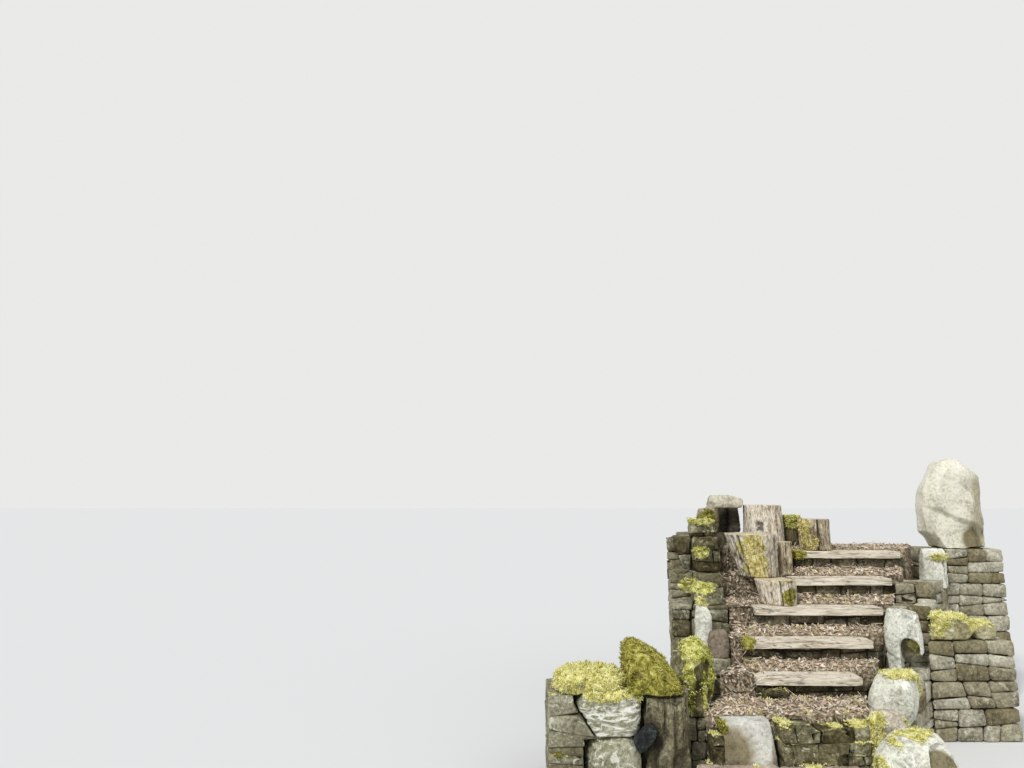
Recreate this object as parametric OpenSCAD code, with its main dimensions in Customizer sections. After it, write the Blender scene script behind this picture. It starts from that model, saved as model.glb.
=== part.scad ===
// Flight of garden steps climbing a bank: two stone steps at the foot, five timber
// edged steps above them, a dry stone wall on the left with a corner at its foot,
// cut logs standing beside the upper steps, and field stones edging the right.
// Millimetres. +Y climbs the flight, +X is to the right of someone climbing,
// and the origin is on the floor under the middle of the middle board's front edge.

/* [Flight] */
// Width between the walls at the lowest board
flight_w = 920; // [880:10:980]
// How far the right edge moves to the right at each board
flight_drift = 198; // [185:1:205]
// How far the right edge moves to the right along the landing
landing_drift = 368; // [330:2:400]
// Depth from one board's front to the next one's
timber_going = 230; // [225:1:250]
// Rise from one board to the next
timber_rise = 172; // [165:1:185]

/* [Stone steps] */
// Height of the foot flags above the floor
foot_flag_rise = 122; // [90:2:160]
// Depth of the foot flags from front to back
foot_flag_going = 300; // [240:10:380]
// Joint between the two foot flags
flag_joint = 22; // [10:2:40]
// Height of the block step above the foot flags
block_rise = 215; // [170:5:250]
// Depth from the block's front to the first board's front
block_going = 334; // [280:2:400]
// Thickness of the block step's stones from front to back
block_t = 150; // [110:5:200]
// Width of the squared pale block
block_w = 338; // [290:2:380]

/* [Timber steps] */
// Thickness of a board
board_t = 56; // [40:2:75]
// Width of a board from front to back
board_w = 150; // [120:5:180]
// How far a board overhangs its stone riser
board_nosing = 30; // [15:1:45]
// Gap between a board's right end and the edging wall
board_end_gap = 8; // [4:1:20]
// How much a tread's earth climbs towards the next riser
tread_slope = 46; // [20:2:70]
// Depth of the top landing from the last board's front to the back wall
landing_going = 530; // [480:10:620]

/* [Walls] */
// Thickness of the left flank wall
left_wall_t = 400; // [320:10:460]
// Thickness of the right flank wall
right_wall_t = 300; // [260:10:360]
// Thickness of the back wall
back_wall_t = 200; // [150:10:260]
// Length of the corner wall's stub left of its quoin
stub_w = 150; // [120:5:300]
// Width of the corner's squared stones
quoin_w = 396; // [300:4:440]
// Width of the upright stone beside them
side_stone_w = 278; // [240:2:320]
// Height of the corner wall under its mossy caps
corner_wall_h = 508; // [440:4:580]
// Height of the corner's base block
corner_base_h = 284; // [220:4:330]
// Depth of the corner wall from front to back
corner_depth = 450; // [400:10:520]
// Length of the return wall on the right
return_wall_w = 600; // [420:10:700]
// Height of the return wall under its caps
return_wall_h = 645; // [540:5:720]
// Thickness of the return wall
return_wall_t = 260; // [220:10:320]
// Width of the pier under the standing stone
pier_w = 604; // [560:4:700]
// Depth of the pier under the standing stone
pier_depth = 360; // [340:10:440]

/* [Logs] */
// Diameter of the lowest log
log_lower_d = 300; // [240:4:320]
// How much wider the lowest log is at its top than at its foot
log_lower_flare = 44; // [10:2:60]
// Diameter of the mossy log at its foot
log_mossy_d = 292; // [260:4:310]
// Height of the mossy log
log_mossy_h = 310; // [240:5:380]
// How much wider the mossy log is at its top
log_mossy_flare = 100; // [70:2:110]
// Diameter of the thin log
log_thin_d = 114; // [90:2:130]
// Height of the thin log
log_thin_h = 247; // [200:1:300]
// Diameter of the upper log
log_upper_d = 328; // [260:4:340]
// Height of the upper log
log_upper_h = 345; // [280:5:420]
// Diameter of the log on the landing
log_landing_d = 244; // [210:2:300]
// Height of the log on the landing
log_landing_h = 240; // [180:5:300]
// Diameter of the stump behind the log on the landing
log_back_d = 146; // [120:2:160]
// Height of the stump behind the log on the landing
log_back_h = 252; // [200:2:300]
// Clearance between a log and what stands beside it
log_gap = 6; // [3:1:12]

/* [Field stones] */
// Height of the standing stone
standing_h = 750; // [600:10:900]
// Width of the standing stone
standing_w = 536; // [460:4:600]
// Thickness of the standing stone
standing_t = 300; // [220:10:350]
// Height of the round boulder
round_h = 290; // [220:2:320]
// Height of the notched block
notched_h = 390; // [320:5:450]
// Height of the foot boulder
foot_boulder_h = 350; // [260:5:400]
// Height of the mossy leaning slab on the corner
moss_slab_h = 256; // [220:4:340]
// Height of the mossy boulder on the flank wall
moss_boulder_h = 425; // [360:5:520]

/* [Hidden] */

// Right edge of the lowest board's opening, and a length past every edge of the flight
foot_right = 50;
beyond = 3000;

// Fronts and tops of the steps: 0 the foot flags, 1 the block step, 2 to 6 the boards, 7 the back wall
block_top = foot_flag_rise + block_rise;
front = [
    -2 * timber_going - block_going - foot_flag_going,
    -2 * timber_going - block_going,
    -2 * timber_going, -timber_going, 0, timber_going, 2 * timber_going,
    2 * timber_going + landing_going
];
top = [foot_flag_rise, block_top, for (i = [1:5]) block_top + i * timber_rise];

// Inner faces of the two flank walls at each step's front, wider apart towards the landing
right_x = [
    foot_right - 200, foot_right - 150, for (i = [0:4]) foot_right + i * flight_drift,
    foot_right + 4 * flight_drift + landing_drift
];
width_share = [1.108, 1.098, 1, 1.04, 1.18, 1.35, 1.53, 1.674];
left_x = [for (s = [0:7]) right_x[s] - flight_w * width_share[s]];
function left_at(y) = lookup(y, [for (s = [0:7]) [front[s], left_x[s]]]);
function right_at(y) = lookup(y, [for (s = [0:7]) [front[s], right_x[s]]]);

// Levels of the flank walls' tops, measured from the tread beside them
left_wall_over = [0, 0, -210, -120, 6, 36, 105];
right_wall_over = [0, 0, -246, -207, 0, -40, -308];
wall_back = front[7] + back_wall_t;
pier_x = right_x[7] + 70;

// Logs, placed from the steps that they stand on
log_lower_at = [-250, front[4] + board_nosing + log_lower_d / 2 - 10];
bank_front_5 = log_lower_at.y + log_lower_d / 2 + 30;
log_mossy_top_d = log_mossy_d + log_mossy_flare;
log_mossy_lean = 62;
log_lower_lean = 24;
log_mossy_at = [-350, bank_front_5 + 22];
bank_front_6 = log_mossy_at.y + log_mossy_top_d / 2 + log_gap;
thin_turn = 11;
thin_reach = (log_mossy_top_d + log_thin_d) / 2 + 6 * log_gap;
log_thin_at = log_mossy_at + thin_reach * [cos(thin_turn), sin(thin_turn)];
log_upper_at = [-112, bank_front_6 + log_upper_d / 2 + log_gap];

// Left ends of the boards and of the earth behind them
board_left = [
    0, 0, -628, -619, -460,
    log_lower_at.x + log_lower_d / 2 + log_gap,
    log_thin_at.x + log_thin_d / 2 + 40
];
fill_left = [
    0, 0, -628, -619,
    log_lower_at.x + log_lower_d / 2 + log_gap,
    log_thin_at.x + log_thin_d / 2 + log_gap,
    log_thin_at.x + log_thin_d / 2 + 40
];
log_landing_at = [fill_left[6] + 208, front[6] + 15 + log_landing_d / 2];
log_back_at = log_upper_at + [(log_upper_d + log_back_d) / 2 + log_gap, 34];
block_left = left_x[1] + 174;
bank_front = [
    0, 0, front[2] + board_nosing, front[3] + board_nosing, front[4] + board_nosing,
    bank_front_5, bank_front_6, front[7]
];

// A rough stone on a flat seat: rings of points that bulge, narrow to the top and are hulled.
// square is 0 for an oval outline and 1 for a boxed one, and crown is the top ring's share of the width.
// lean is how far the top ring stands to the right of the bottom ring.
module field_stone(size, seed, square = 0.5, crown = 0.6, rough = 0.05, lean = 0) {
    spokes = 11;
    levels = [[0, 0.9], [0.22, 0.99], [0.55, 1], [0.82, (crown + 1.6) / 2.6], [1, crown]];
    shake = rands(-1, 1, len(levels) * spokes * 3, seed);
    power = 1 - 0.62 * square;
    function bend(v) = sign(v) * pow(abs(v), power);
    points = [
        for (r = [0:len(levels) - 1])
            for (i = [0:spokes - 1])
                let (
                    a = 360 * (i + 0.5 * (r % 2)) / spokes,
                    n = 3 * (r * spokes + i),
                    free = r == 0 || r == len(levels) - 1 ? 0 : 1,
                    grow = levels[r][1] * (1 - rough * (1 + shake[n]))
                )
                [
                    size.x / 2 * bend(cos(a)) * grow + lean * (levels[r][0] - 0.5),
                    size.y / 2 * bend(sin(a)) * grow,
                    size.z * (levels[r][0] + free * 0.05 * shake[n + 1])
                ]
    ];
    hull() polyhedron(points, [[for (i = [0:len(points) - 1]) i]]);
}

// A column of wall or earth that stands on the floor over a plan of corner points
module column(plan, level) {
    linear_extrude(level) polygon(plan);
}

// Plan between two edge lines that bend at the steps' fronts
function bends(y0, y1) = [y0, each [for (y = front) if (y > y0 && y < y1) y], y1];
function band(line_a, line_b, y0, y1) =
    let (ys = bends(y0, y1), last = len(ys) - 1)
    [for (y = ys) [line_a(y), y], for (i = [last:-1:0]) [line_b(ys[i]), ys[i]]];

// Plan of the ground from one x to the right flank wall
function strip(x_left, y0, y1) = band(function (y) x_left, function (y) right_at(y), y0, y1);

// Sets a stone on the right flank wall against the treads, its own left side along them
edge_gap = 5;
function right_turn(y) = atan2(right_at(y + 40) - right_at(y - 40), 80);
module beside_right(y, w, level, gap = edge_gap) {
    translate([right_at(y), y, level]) rotate(-right_turn(y)) translate([w / 2 + gap, 0, 0]) children();
}

module foot_flags() {
    y0 = front[0];
    y1 = front[1];
    joint_x = -640;
    right_end = right_at(y0) - 36;
    color([0.62, 0.58, 0.46]) {
        column([[left_at(y1), y0], [joint_x - flag_joint, y0 + 24],
                [joint_x - flag_joint / 2, y1], [left_at(y1), y1]], top[0]);
        column([[joint_x, y0 + 10], [right_end, y0 + 42], [right_end, y1], [joint_x + flag_joint / 2, y1]],
               top[0] - 6);
    }
}

// The squared pale block, whose right front corner is cut off wider towards the foot
module riser_block() {
    lean = 17;
    corner = 64;
    skin = 1;
    color([0.88, 0.87, 0.82])
        translate([block_left, front[1], 0])
            hull() {
                linear_extrude(skin)
                    polygon([[0, 0], [block_w - corner, 0], [block_w, corner], [block_w, block_t], [0, block_t]]);
                translate([0, 0, top[1] - skin])
                    linear_extrude(skin)
                        polygon([[0, lean], [block_w - corner, lean], [block_w - corner + 6, corner],
                                 [block_w - corner + 6, block_t], [0, block_t]]);
            }
}

// Rough stones beside the block in two courses, with flat backs against the earth, and a
// flat one that lies on the earth before the lowest board's riser
module riser_stones() {
    y0 = front[1];
    y1 = front[1] + block_t;
    right_0 = block_left + block_w;
    right_w = right_at(y1) - right_0;
    left_0 = left_at(y1);
    left_w = block_left - left_0;
    course_h = top[1] * 0.52;
    module fitted(plan, x0, x1, z0, z1, seed) {
        w = x1 - x0;
        h = z1 - z0;
        intersection() {
            translate([0, 0, z0]) linear_extrude(h) polygon(plan);
            translate([(x0 + x1) / 2, y1, z0 - 0.08 * h])
                field_stone([1.26 * w, 2.6 * block_t, 1.16 * h], seed, 0.85, 0.86, 0.05);
        }
    }
    module boxed(x0, x1, z0, z1, seed) {
        fitted([[x0, y0], [x1, y0], [x1, y1], [x0, y1]], x0, x1, z0, z1, seed);
    }
    color([0.55, 0.54, 0.42]) {
        boxed(left_0, block_left, 0, course_h, 3);
        boxed(left_0, block_left, course_h, top[1] - 64, 4);
        boxed(right_0, right_0 + 0.42 * right_w, 0, course_h, 8);
        fitted(strip(right_0 + 0.42 * right_w, y0, y1), right_0 + 0.42 * right_w, right_0 + right_w, 0, course_h, 9);
        boxed(right_0, right_0 + 0.3 * right_w, course_h, top[1] - 12, 10);
        boxed(right_0 + 0.3 * right_w, right_0 + 0.68 * right_w, course_h, top[1] - 46, 11);
        fitted(strip(right_0 + 0.68 * right_w, y0, y1), right_0 + 0.68 * right_w, right_0 + right_w,
               course_h, top[1] - 24, 12);
        translate([board_left[2] + 104, front[2] + board_nosing - 34, 0])
            translate([0, 0, top[1] + tread_slope - 34 * tan(fill_slope(1))])
                rotate([fill_slope(1), 0, 0]) field_stone([172, 58, 66], 14, 0.85, 0.8);
    }
}

module board(s) {
    color([0.70, 0.62, 0.54])
        translate([board_left[s], front[s], top[s] - board_t])
            cube([right_at(front[s]) - board_end_gap - board_left[s], board_w, board_t]);
}

module stone_risers() {
    color([0.42, 0.41, 0.33])
        for (s = [2:6])
            column(strip(board_left[s], front[s] + board_nosing, front[s] + board_w), top[s] - board_t);
}

// Earth behind one step's edge, climbing gently to the next riser
function fill_front(s) = s == 1 ? front[s] + block_t : front[s] + board_w;
function fill_back(s) = front[s + 1] + board_nosing;
function fill_slope(s) = atan(tread_slope / (fill_back(s) - fill_front(s)));

module tread_fill(s) {
    y0 = fill_front(s);
    y1 = fill_back(s);
    plan = s == 1
        ? band(function (y) left_at(y), function (y) right_at(y), y0, y1)
        : strip(fill_left[s], y0, y1);
    color([0.55, 0.42, 0.33])
        difference() {
            column(plan, top[s] + tread_slope);
            translate([-beyond, y0, top[s]])
                rotate([fill_slope(s), 0, 0])
                    cube([2 * beyond, beyond, beyond]);
        }
}

module landing_fill() {
    color([0.55, 0.42, 0.33])
        column(strip(fill_left[6], front[6] + board_w, front[7]), top[6]);
}

// Earth between the left wall and the boards, in level terraces that carry the logs
module side_bank() {
    module outline() {
        difference() {
            polygon([
                for (s = [2:7]) [left_x[s], front[s]],
                for (s = [6:-1:2]) each [
                    [fill_left[s], front[s + 1] + (s == 6 ? 0 : board_nosing)],
                    [fill_left[s], front[s] + (s == 2 ? 0 : board_nosing)]
                ]
            ]);
            for (s = [3:6])
                polygon(strip(board_left[s], front[s] + board_nosing, front[s] + board_w));
        }
    }
    color([0.45, 0.36, 0.29])
        for (s = [2:6])
            linear_extrude(top[s])
                intersection() {
                    outline();
                    translate([-beyond, bank_front[s]])
                        square([2 * beyond, bank_front[s + 1] - bank_front[s]]);
                }
}

// Dry stone wall left of the flight, stepping up beside it
module left_flank_wall() {
    color([0.46, 0.46, 0.37])
        for (s = [2:6]) {
            y0 = s == 2 ? bed_front : front[s];
            y1 = s == 6 ? wall_back : front[s + 1];
            thick = s == 2 ? bed_w : left_wall_t;
            column(band(function (y) left_at(y) - thick, function (y) left_at(y), y0, y1),
                   top[s] + left_wall_over[s]);
        }
}

// Low wall right of the flight, under its edging stones
function right_outer(y) = right_at(y) + right_wall_t;
function right_plan(s) =
    band(function (y) right_at(y), function (y) right_outer(y),
         s == 2 ? front[2] - 140 : front[s], s == 6 ? wall_back - pier_depth : front[s + 1]);

module right_flank_wall() {
    color([0.58, 0.57, 0.49])
        for (s = [2:6])
            column(right_plan(s), top[s] + right_wall_over[s]);
}

module back_wall() {
    color([0.46, 0.46, 0.37])
        column([[left_x[7], front[7]], [right_x[7], front[7]],
                [right_x[7], wall_back], [left_x[7], wall_back]], top[6]);
}

// Pier under the standing stone, with a lower wall that ties it to the right flank
module standing_stone_pier() {
    y0 = wall_back - pier_depth;
    color([0.58, 0.57, 0.49]) {
        translate([pier_x, y0, 0]) cube([pier_w, pier_depth, top[6] - 17]);
        column([[right_at(y0), y0], [pier_x, y0], [pier_x, wall_back],
                [right_x[7], wall_back], [right_x[7], front[7]]], top[6] + right_wall_over[6]);
    }
}

// Corner of the left wall at the foot of the steps
corner_back = front[2];
corner_front = corner_back - corner_depth;
bed_front = front[2] - 190;
bed_w = 310;
side_x = left_at(corner_front + 40);
quoin_right = side_x - side_stone_w;
quoin_left = quoin_right - quoin_w;
quoin_foot_in = 0.31 * quoin_w;
quoin_bend_z = corner_base_h + 0.8 * (corner_wall_h - corner_base_h);
base_w = 0.86 * quoin_w;

// Wall behind the corner, with a stub on the left packed against the slanting side of the quoin
module corner_wall() {
    color([0.46, 0.46, 0.37]) {
        translate([quoin_left, corner_back, 0])
            rotate([90, 0, 0])
                linear_extrude(corner_depth - 20)
                    polygon([[-stub_w, 0], [quoin_w - base_w, 0], [quoin_w - base_w, corner_base_h],
                             [quoin_foot_in, corner_base_h], [0, quoin_bend_z], [0, corner_wall_h],
                             [-stub_w, corner_wall_h]]);
        column(band(function (y) quoin_right, function (y) left_at(y) - bed_w, bed_front, front[3]),
               corner_wall_h);
    }
}

module corner_base_block() {
    color([0.62, 0.60, 0.50])
        translate([quoin_right - base_w / 2, corner_front + corner_depth / 2, 0])
            field_stone([base_w - 4, corner_depth, corner_base_h], 21, 0.92, 0.93, 0.02);
}

// Squared stone that narrows to its foot on the left
module corner_quoin() {
    w = quoin_w - 4;
    h = corner_wall_h - corner_base_h;
    bend_z = quoin_bend_z - corner_base_h;
    color([0.72, 0.71, 0.62])
        translate([(quoin_left + quoin_right) / 2, corner_front + corner_depth / 2, corner_base_h])
            intersection() {
                field_stone([w, corner_depth - 16, h], 24, 0.9, 0.92, 0.02);
                translate([0, corner_depth, 0])
                    rotate([90, 0, 0])
                        linear_extrude(2 * corner_depth)
                            polygon([[quoin_foot_in - w / 2, -1], [w, -1], [w, h + 1], [-w / 2, h + 1],
                                     [-w / 2, bend_z]]);
            }
}

// Upright stone beside the quoin, its face turned towards the steps
module corner_side_stone() {
    color([0.45, 0.44, 0.33])
        column([[quoin_right, corner_front + 60], [quoin_right + 120, corner_front + 26],
                [side_x - 36, corner_front + 54], [side_x, corner_front + 130],
                [left_at(bed_front) - 90, bed_front], [quoin_right, bed_front]], corner_wall_h);
}

// Leaning slab over the corner, high at the back left and falling to the front right
module mossy_slab() {
    w = 296;
    d = 380;
    color([0.58, 0.54, 0.20])
        translate([quoin_right - 82, corner_front + 30, corner_wall_h])
            hull() {
                linear_extrude(40) polygon([[8, 20], [w * 0.6, 0], [w, 50], [w - 4, d - 40], [30, d]]);
                translate([0, 0, moss_slab_h * 0.36])
                    linear_extrude(8) polygon([[4, 30], [w * 0.6, 12], [w * 0.93, 80], [w * 0.9, d - 60], [14, d - 6]]);
                translate([0, 0, moss_slab_h * 0.72])
                    linear_extrude(8) polygon([[6, 56], [w * 0.4, 36], [w * 0.68, 130], [w * 0.6, d - 80], [16, d - 30]]);
                translate([0, 0, moss_slab_h - 8])
                    linear_extrude(8) polygon([[16, 130], [70, 140], [92, 280], [30, 300]]);
            }
}

module mossy_cap_stone() {
    color([0.66, 0.64, 0.34])
        translate([quoin_left + 0.26 * quoin_w, corner_front + corner_depth / 2 - 10, corner_wall_h])
            field_stone([quoin_w, 0.74 * corner_depth, 0.24 * quoin_w], 31, 0.55, 0.7);
}

// Stones on the left flank wall
module mossy_boulder() {
    y = (bed_front + front[3]) / 2 - 14;
    color([0.55, 0.56, 0.24])
        translate([left_at(y) - 152, y, top[2] + left_wall_over[2]])
            rotate(-34) field_stone([222, 310, moss_boulder_h], 42, 0.45, 0.5);
}

module brown_stone() {
    y = front[3] + 52;
    color([0.60, 0.52, 0.45])
        translate([left_at(y) - 82, y, top[3] + left_wall_over[3]])
            field_stone([150, 100, 178], 47, 0.85, 0.7);
}

module white_stone() {
    y = front[3] + 168;
    color([0.80, 0.79, 0.72])
        translate([left_at(y) - 182, y, top[3] + left_wall_over[3]])
            field_stone([130, 120, 372], 52, 0.6, 0.5);
}

module left_coping_stones() {
    color([0.50, 0.52, 0.30]) {
        translate([left_x[4] - 118, front[4] + 120, top[4] + left_wall_over[4]])
            field_stone([230, 200, 130], 61, 0.6, 0.6);
        translate([left_x[5] - 92, front[5] + 125, top[5] + left_wall_over[5]])
            field_stone([220, 200, 250], 64, 0.7, 0.6);
        translate([left_x[6] - 88, front[6] + 110, top[6] + left_wall_over[6]])
            field_stone([230, 190, 116], 68, 0.7, 0.8);
    }
}

// Flat slab beside the landing, over a deep hole between the wall and a prop set back
module top_slab() {
    y = front[6] + 320;
    prop_h = 318;
    slab_h = 106;
    wall_top = top[6] + left_wall_over[6];
    bed_h = prop_h - left_wall_over[6];
    back_y = y + 92;
    color([0.74, 0.71, 0.62]) {
        translate([left_at(y) + 106, y + 76, top[6]]) field_stone([112, 104, prop_h], 71, 0.7, 0.85);
        translate([left_at(y) - 118, y + 24, wall_top]) field_stone([178, 230, bed_h], 72, 0.8, 0.8);
        translate([0, 0, wall_top]) linear_extrude(bed_h)
            polygon(band(function (y) left_at(y) - 60, function (y) left_at(y) - 2, back_y, back_y + 40));
        translate([left_at(y) + 24, y + 20, top[6] + prop_h]) field_stone([298, 260, slab_h], 73, 0.75, 0.84);
    }
}

// A cut log standing on end, wider at its top by flare and leaning to the left by lean
module cut_log(d, h, flare = 0, lean = 0) {
    skin = 1;
    color([0.66, 0.58, 0.47])
        if (lean == 0)
            cylinder(h = h, d1 = d, d2 = d + flare, $fn = 64);
        else
            hull() {
                cylinder(h = skin, d = d, $fn = 64);
                translate([-lean, 0, h - skin]) cylinder(h = skin, d = d + flare, $fn = 64);
            }
}

module log_lower() {
    translate([log_lower_at.x + log_lower_lean, log_lower_at.y, top[4]])
        cut_log(log_lower_d - log_lower_flare, timber_rise, log_lower_flare, log_lower_lean);
}

module log_mossy() {
    translate([log_mossy_at.x + log_mossy_lean, log_mossy_at.y, top[5]])
        cut_log(log_mossy_d, log_mossy_h, log_mossy_flare, log_mossy_lean);
}

module log_thin() {
    translate([log_thin_at.x, log_thin_at.y, top[5]]) cut_log(log_thin_d, log_thin_h);
}

module log_upper() {
    translate([log_upper_at.x, log_upper_at.y, top[6]]) cut_log(log_upper_d, log_upper_h, -28);
}

module log_landing() {
    translate([log_landing_at.x, log_landing_at.y, top[6]]) cut_log(log_landing_d, log_landing_h, -6);
}

module log_back() {
    translate([log_back_at.x, log_back_at.y, top[6]]) cut_log(log_back_d, log_back_h, -10);
}

// Edging stones on the right, from the foot upwards
module foot_boulder() {
    w = 460;
    d = 290;
    scoop_r = 78;
    scoop_in = 84;
    color([0.84, 0.83, 0.76])
        translate([right_at(front[0]) + 190, front[1] - 202, 0])
            difference() {
                field_stone([w, d, foot_boulder_h], 81, 0.6, 0.62);
                translate([0, scoop_in - d / 2, 0])
                    rotate([90, 0, 0])
                        hull() {
                            translate([0.2 * w, foot_boulder_h - 1.26 * scoop_r, 0])
                                cylinder(h = d, r = scoop_r, $fn = 40);
                            translate([0.13 * w, -scoop_r, 0]) cylinder(h = d, r = scoop_r, $fn = 40);
                        }
            }
}

// A stone on end whose flat left side lies against the lowest tread
module wedge_stone() {
    w = 196;
    d = 152;
    h = 394;
    color([0.70, 0.68, 0.50])
        beside_right(front[1] + 88, w, 0, 0)
            intersection() {
                field_stone([1.3 * w, d, h], 86, 0.7, 0.6);
                translate([-w / 2, -d, 0]) cube([2 * w, 2 * d, h]);
            }
}

module round_boulder() {
    w = 280;
    color([0.84, 0.83, 0.76])
        beside_right(front[2] + 40, w, top[2] + right_wall_over[2])
            field_stone([w, 276, round_h], 92, 0.62, 0.74, 0.04, 0.13 * round_h);
}

// A block with a worn arch in its lower right, whose outer leg ends short
module notched_block() {
    w = 236;
    d = 160;
    arch_r = 58;
    arch_x = 44;
    arch_h = notched_h * 0.56;
    leg_h = 112;
    depth = 100;
    color([0.84, 0.83, 0.78])
        beside_right(front[3] + 158, w, top[3] + right_wall_over[3])
            difference() {
                field_stone([w, d, notched_h], 97, 0.85, 0.8);
                translate([arch_x, -d / 2 + depth, arch_h - arch_r])
                    rotate([90, 0, 0]) cylinder(h = 2 * depth, r = arch_r, $fn = 40);
                translate([arch_x - arch_r, -d / 2 - depth, -10])
                    cube([2 * arch_r, 2 * depth, arch_h - arch_r + 10]);
                translate([arch_x - arch_r, -d, -10])
                    cube([w, 2 * d, leg_h + 10]);
            }
}

module small_block() {
    y = front[6] + 240;
    color([0.80, 0.78, 0.70])
        translate([right_at(y) + 204, y, top[6] + right_wall_over[6]])
            field_stone([196, 170, 312], 112, 0.85, 0.82);
}

// Tall upright slab with a pointed left shoulder and a slanting crown
module standing_stone() {
    w = standing_w;
    h = standing_h;
    t = standing_t;
    face = [
        [-0.31, 0], [-0.48, 0.18], [-0.5, 0.47], [-0.5, 0.63], [-0.37, 0.77], [-0.3, 0.89], [-0.17, 0.965],
        [0, 1], [0.13, 0.985], [0.24, 0.92], [0.37, 0.81], [0.48, 0.77], [0.5, 0.58], [0.5, 0.25], [0.45, 0]
    ];
    module slice(y, grow) {
        translate([0, y, 0]) rotate([90, 0, 0]) linear_extrude(2)
            polygon([for (p = face) [p.x * w * grow, p.y * h * (1 - (1 - grow) * 0.5)]]);
    }
    color([0.86, 0.85, 0.77])
        translate([pier_x + pier_w / 2, wall_back - pier_depth / 2, top[6] - 17])
            hull() {
                slice(-t / 2 + 2, 0.80);
                slice(-t / 4, 1);
                slice(t / 4, 0.96);
                slice(t / 2, 0.72);
            }
}

// Return wall that runs off to the right of the notched block
return_front = front[3] + 130;
return_back = return_front + return_wall_t;
return_end = right_outer(return_front) + return_wall_w;

module return_wall() {
    color([0.50, 0.50, 0.36])
        column(band(function (y) right_outer(y), function (y) return_end, return_front, return_back),
               return_wall_h);
}

// Mossy caps on the return wall, the first one fitted to the flank wall
module return_caps() {
    x0 = right_outer(return_front);
    color([0.66, 0.63, 0.28]) {
        difference() {
            translate([x0 + 172, return_front + 100, return_wall_h])
                field_stone([364, 190, 156], 121, 0.75, 0.78);
            translate([-edge_gap, -edge_gap, 0])
                column(band(function (y) right_at(y), function (y) right_outer(y) + 3 * edge_gap,
                            front[3], front[6]), top[5]);
        }
        translate([x0 + 446, return_front + 108, return_wall_h])
            field_stone([150, 180, 104], 122, 0.6, 0.7);
    }
}

foot_flags();
riser_block();
riser_stones();
board(2);  // board_1
board(3);  // board_2
board(4);  // board_3
board(5);  // board_4
board(6);  // board_5
stone_risers();
tread_fill(1);  // tread_fill_1
tread_fill(2);  // tread_fill_2
tread_fill(3);  // tread_fill_3
tread_fill(4);  // tread_fill_4
tread_fill(5);  // tread_fill_5
landing_fill();
side_bank();
left_flank_wall();
right_flank_wall();
back_wall();
corner_wall();
return_wall();
standing_stone_pier();
corner_quoin();
corner_base_block();
corner_side_stone();
mossy_slab();
mossy_cap_stone();
mossy_boulder();
brown_stone();
white_stone();
left_coping_stones();
top_slab();
log_lower();
log_mossy();
log_thin();
log_upper();
log_landing();
log_back();
foot_boulder();
wedge_stone();
round_boulder();
notched_block();
small_block();
standing_stone();
return_caps();
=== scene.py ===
"""Garden steps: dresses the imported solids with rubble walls, field stones, boards, logs, litter and moss."""

import logging
import math
import random
from collections.abc import Iterable
from dataclasses import dataclass
from enum import Enum
from typing import Protocol

import bmesh
import bpy
from mathutils import Matrix, Vector, noise

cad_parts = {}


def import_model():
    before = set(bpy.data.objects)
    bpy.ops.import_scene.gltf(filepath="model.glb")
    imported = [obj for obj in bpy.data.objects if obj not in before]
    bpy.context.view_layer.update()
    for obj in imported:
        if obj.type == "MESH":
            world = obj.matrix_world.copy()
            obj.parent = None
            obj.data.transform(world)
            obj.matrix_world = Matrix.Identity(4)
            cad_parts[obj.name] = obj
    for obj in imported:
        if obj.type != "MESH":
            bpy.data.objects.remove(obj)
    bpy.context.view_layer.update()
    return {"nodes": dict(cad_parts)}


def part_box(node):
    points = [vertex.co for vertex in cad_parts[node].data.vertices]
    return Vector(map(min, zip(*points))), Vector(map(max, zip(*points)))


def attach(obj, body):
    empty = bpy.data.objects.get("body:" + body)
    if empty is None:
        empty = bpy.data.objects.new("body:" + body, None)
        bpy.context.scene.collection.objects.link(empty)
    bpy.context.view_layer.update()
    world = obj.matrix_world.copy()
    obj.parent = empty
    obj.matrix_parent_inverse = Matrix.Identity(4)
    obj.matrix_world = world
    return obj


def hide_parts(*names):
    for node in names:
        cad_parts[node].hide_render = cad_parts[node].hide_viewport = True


log = logging.getLogger("garden_steps")

# short names for types that come up often
BMesh = bmesh.types.BMesh
BMEdge = bmesh.types.BMEdge
BMFace = bmesh.types.BMFace
BMVert = bmesh.types.BMVert
Socket = bpy.types.NodeSocket
Material = bpy.types.Material
Point = tuple[float, float, float]
Colour = tuple[float, float, float]  # linear, as shaders take it
Screen = tuple[int, int, int]  # as seen on a screen
Tones = tuple[Screen, ...]  # from dark to light
Stops = list[tuple[float, Colour]]
Value = Socket | Colour | float

UP = Vector((0, 0, 1))
WHOLE_TURN = 6.28  # radians, for a random spin
HUGE = 99.0  # metres, a size that never asks for a cut


def tint(red: int, green: int, blue: int) -> Colour:
    """Turns a colour as seen on a screen into the linear one that shaders take.

    Args:
        red: red from 0 to 255.
        green: green from 0 to 255.
        blue: blue from 0 to 255.

    Returns:
        The linear colour.
    """
    return tuple(((part / 255 + 0.055) / 1.055) ** 2.4 if part > 10 else part / 255 / 12.92
                 for part in (red, green, blue))


def stops(places: tuple[float, ...], tones: Tones) -> Stops:
    """Pairs the places of a colour ramp with its colours.

    Args:
        places: the places from 0 to 1.
        tones: the colours as seen on a screen.

    Returns:
        Each place with its linear colour.
    """
    return [(place, tint(*tone)) for place, tone in zip(places, tones)]


class Mark(Enum):
    """What a piece's points carry for its finish."""

    MOSS = "moss"
    # painted shade in cracks, splits, hollows and knots, and between the bark's ridges
    DEEP = "deep"
    # random tone of each wall stone, and painted shade on the field stones' hollows and on sides turned from
    # the light
    TONE = "tone"


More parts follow.
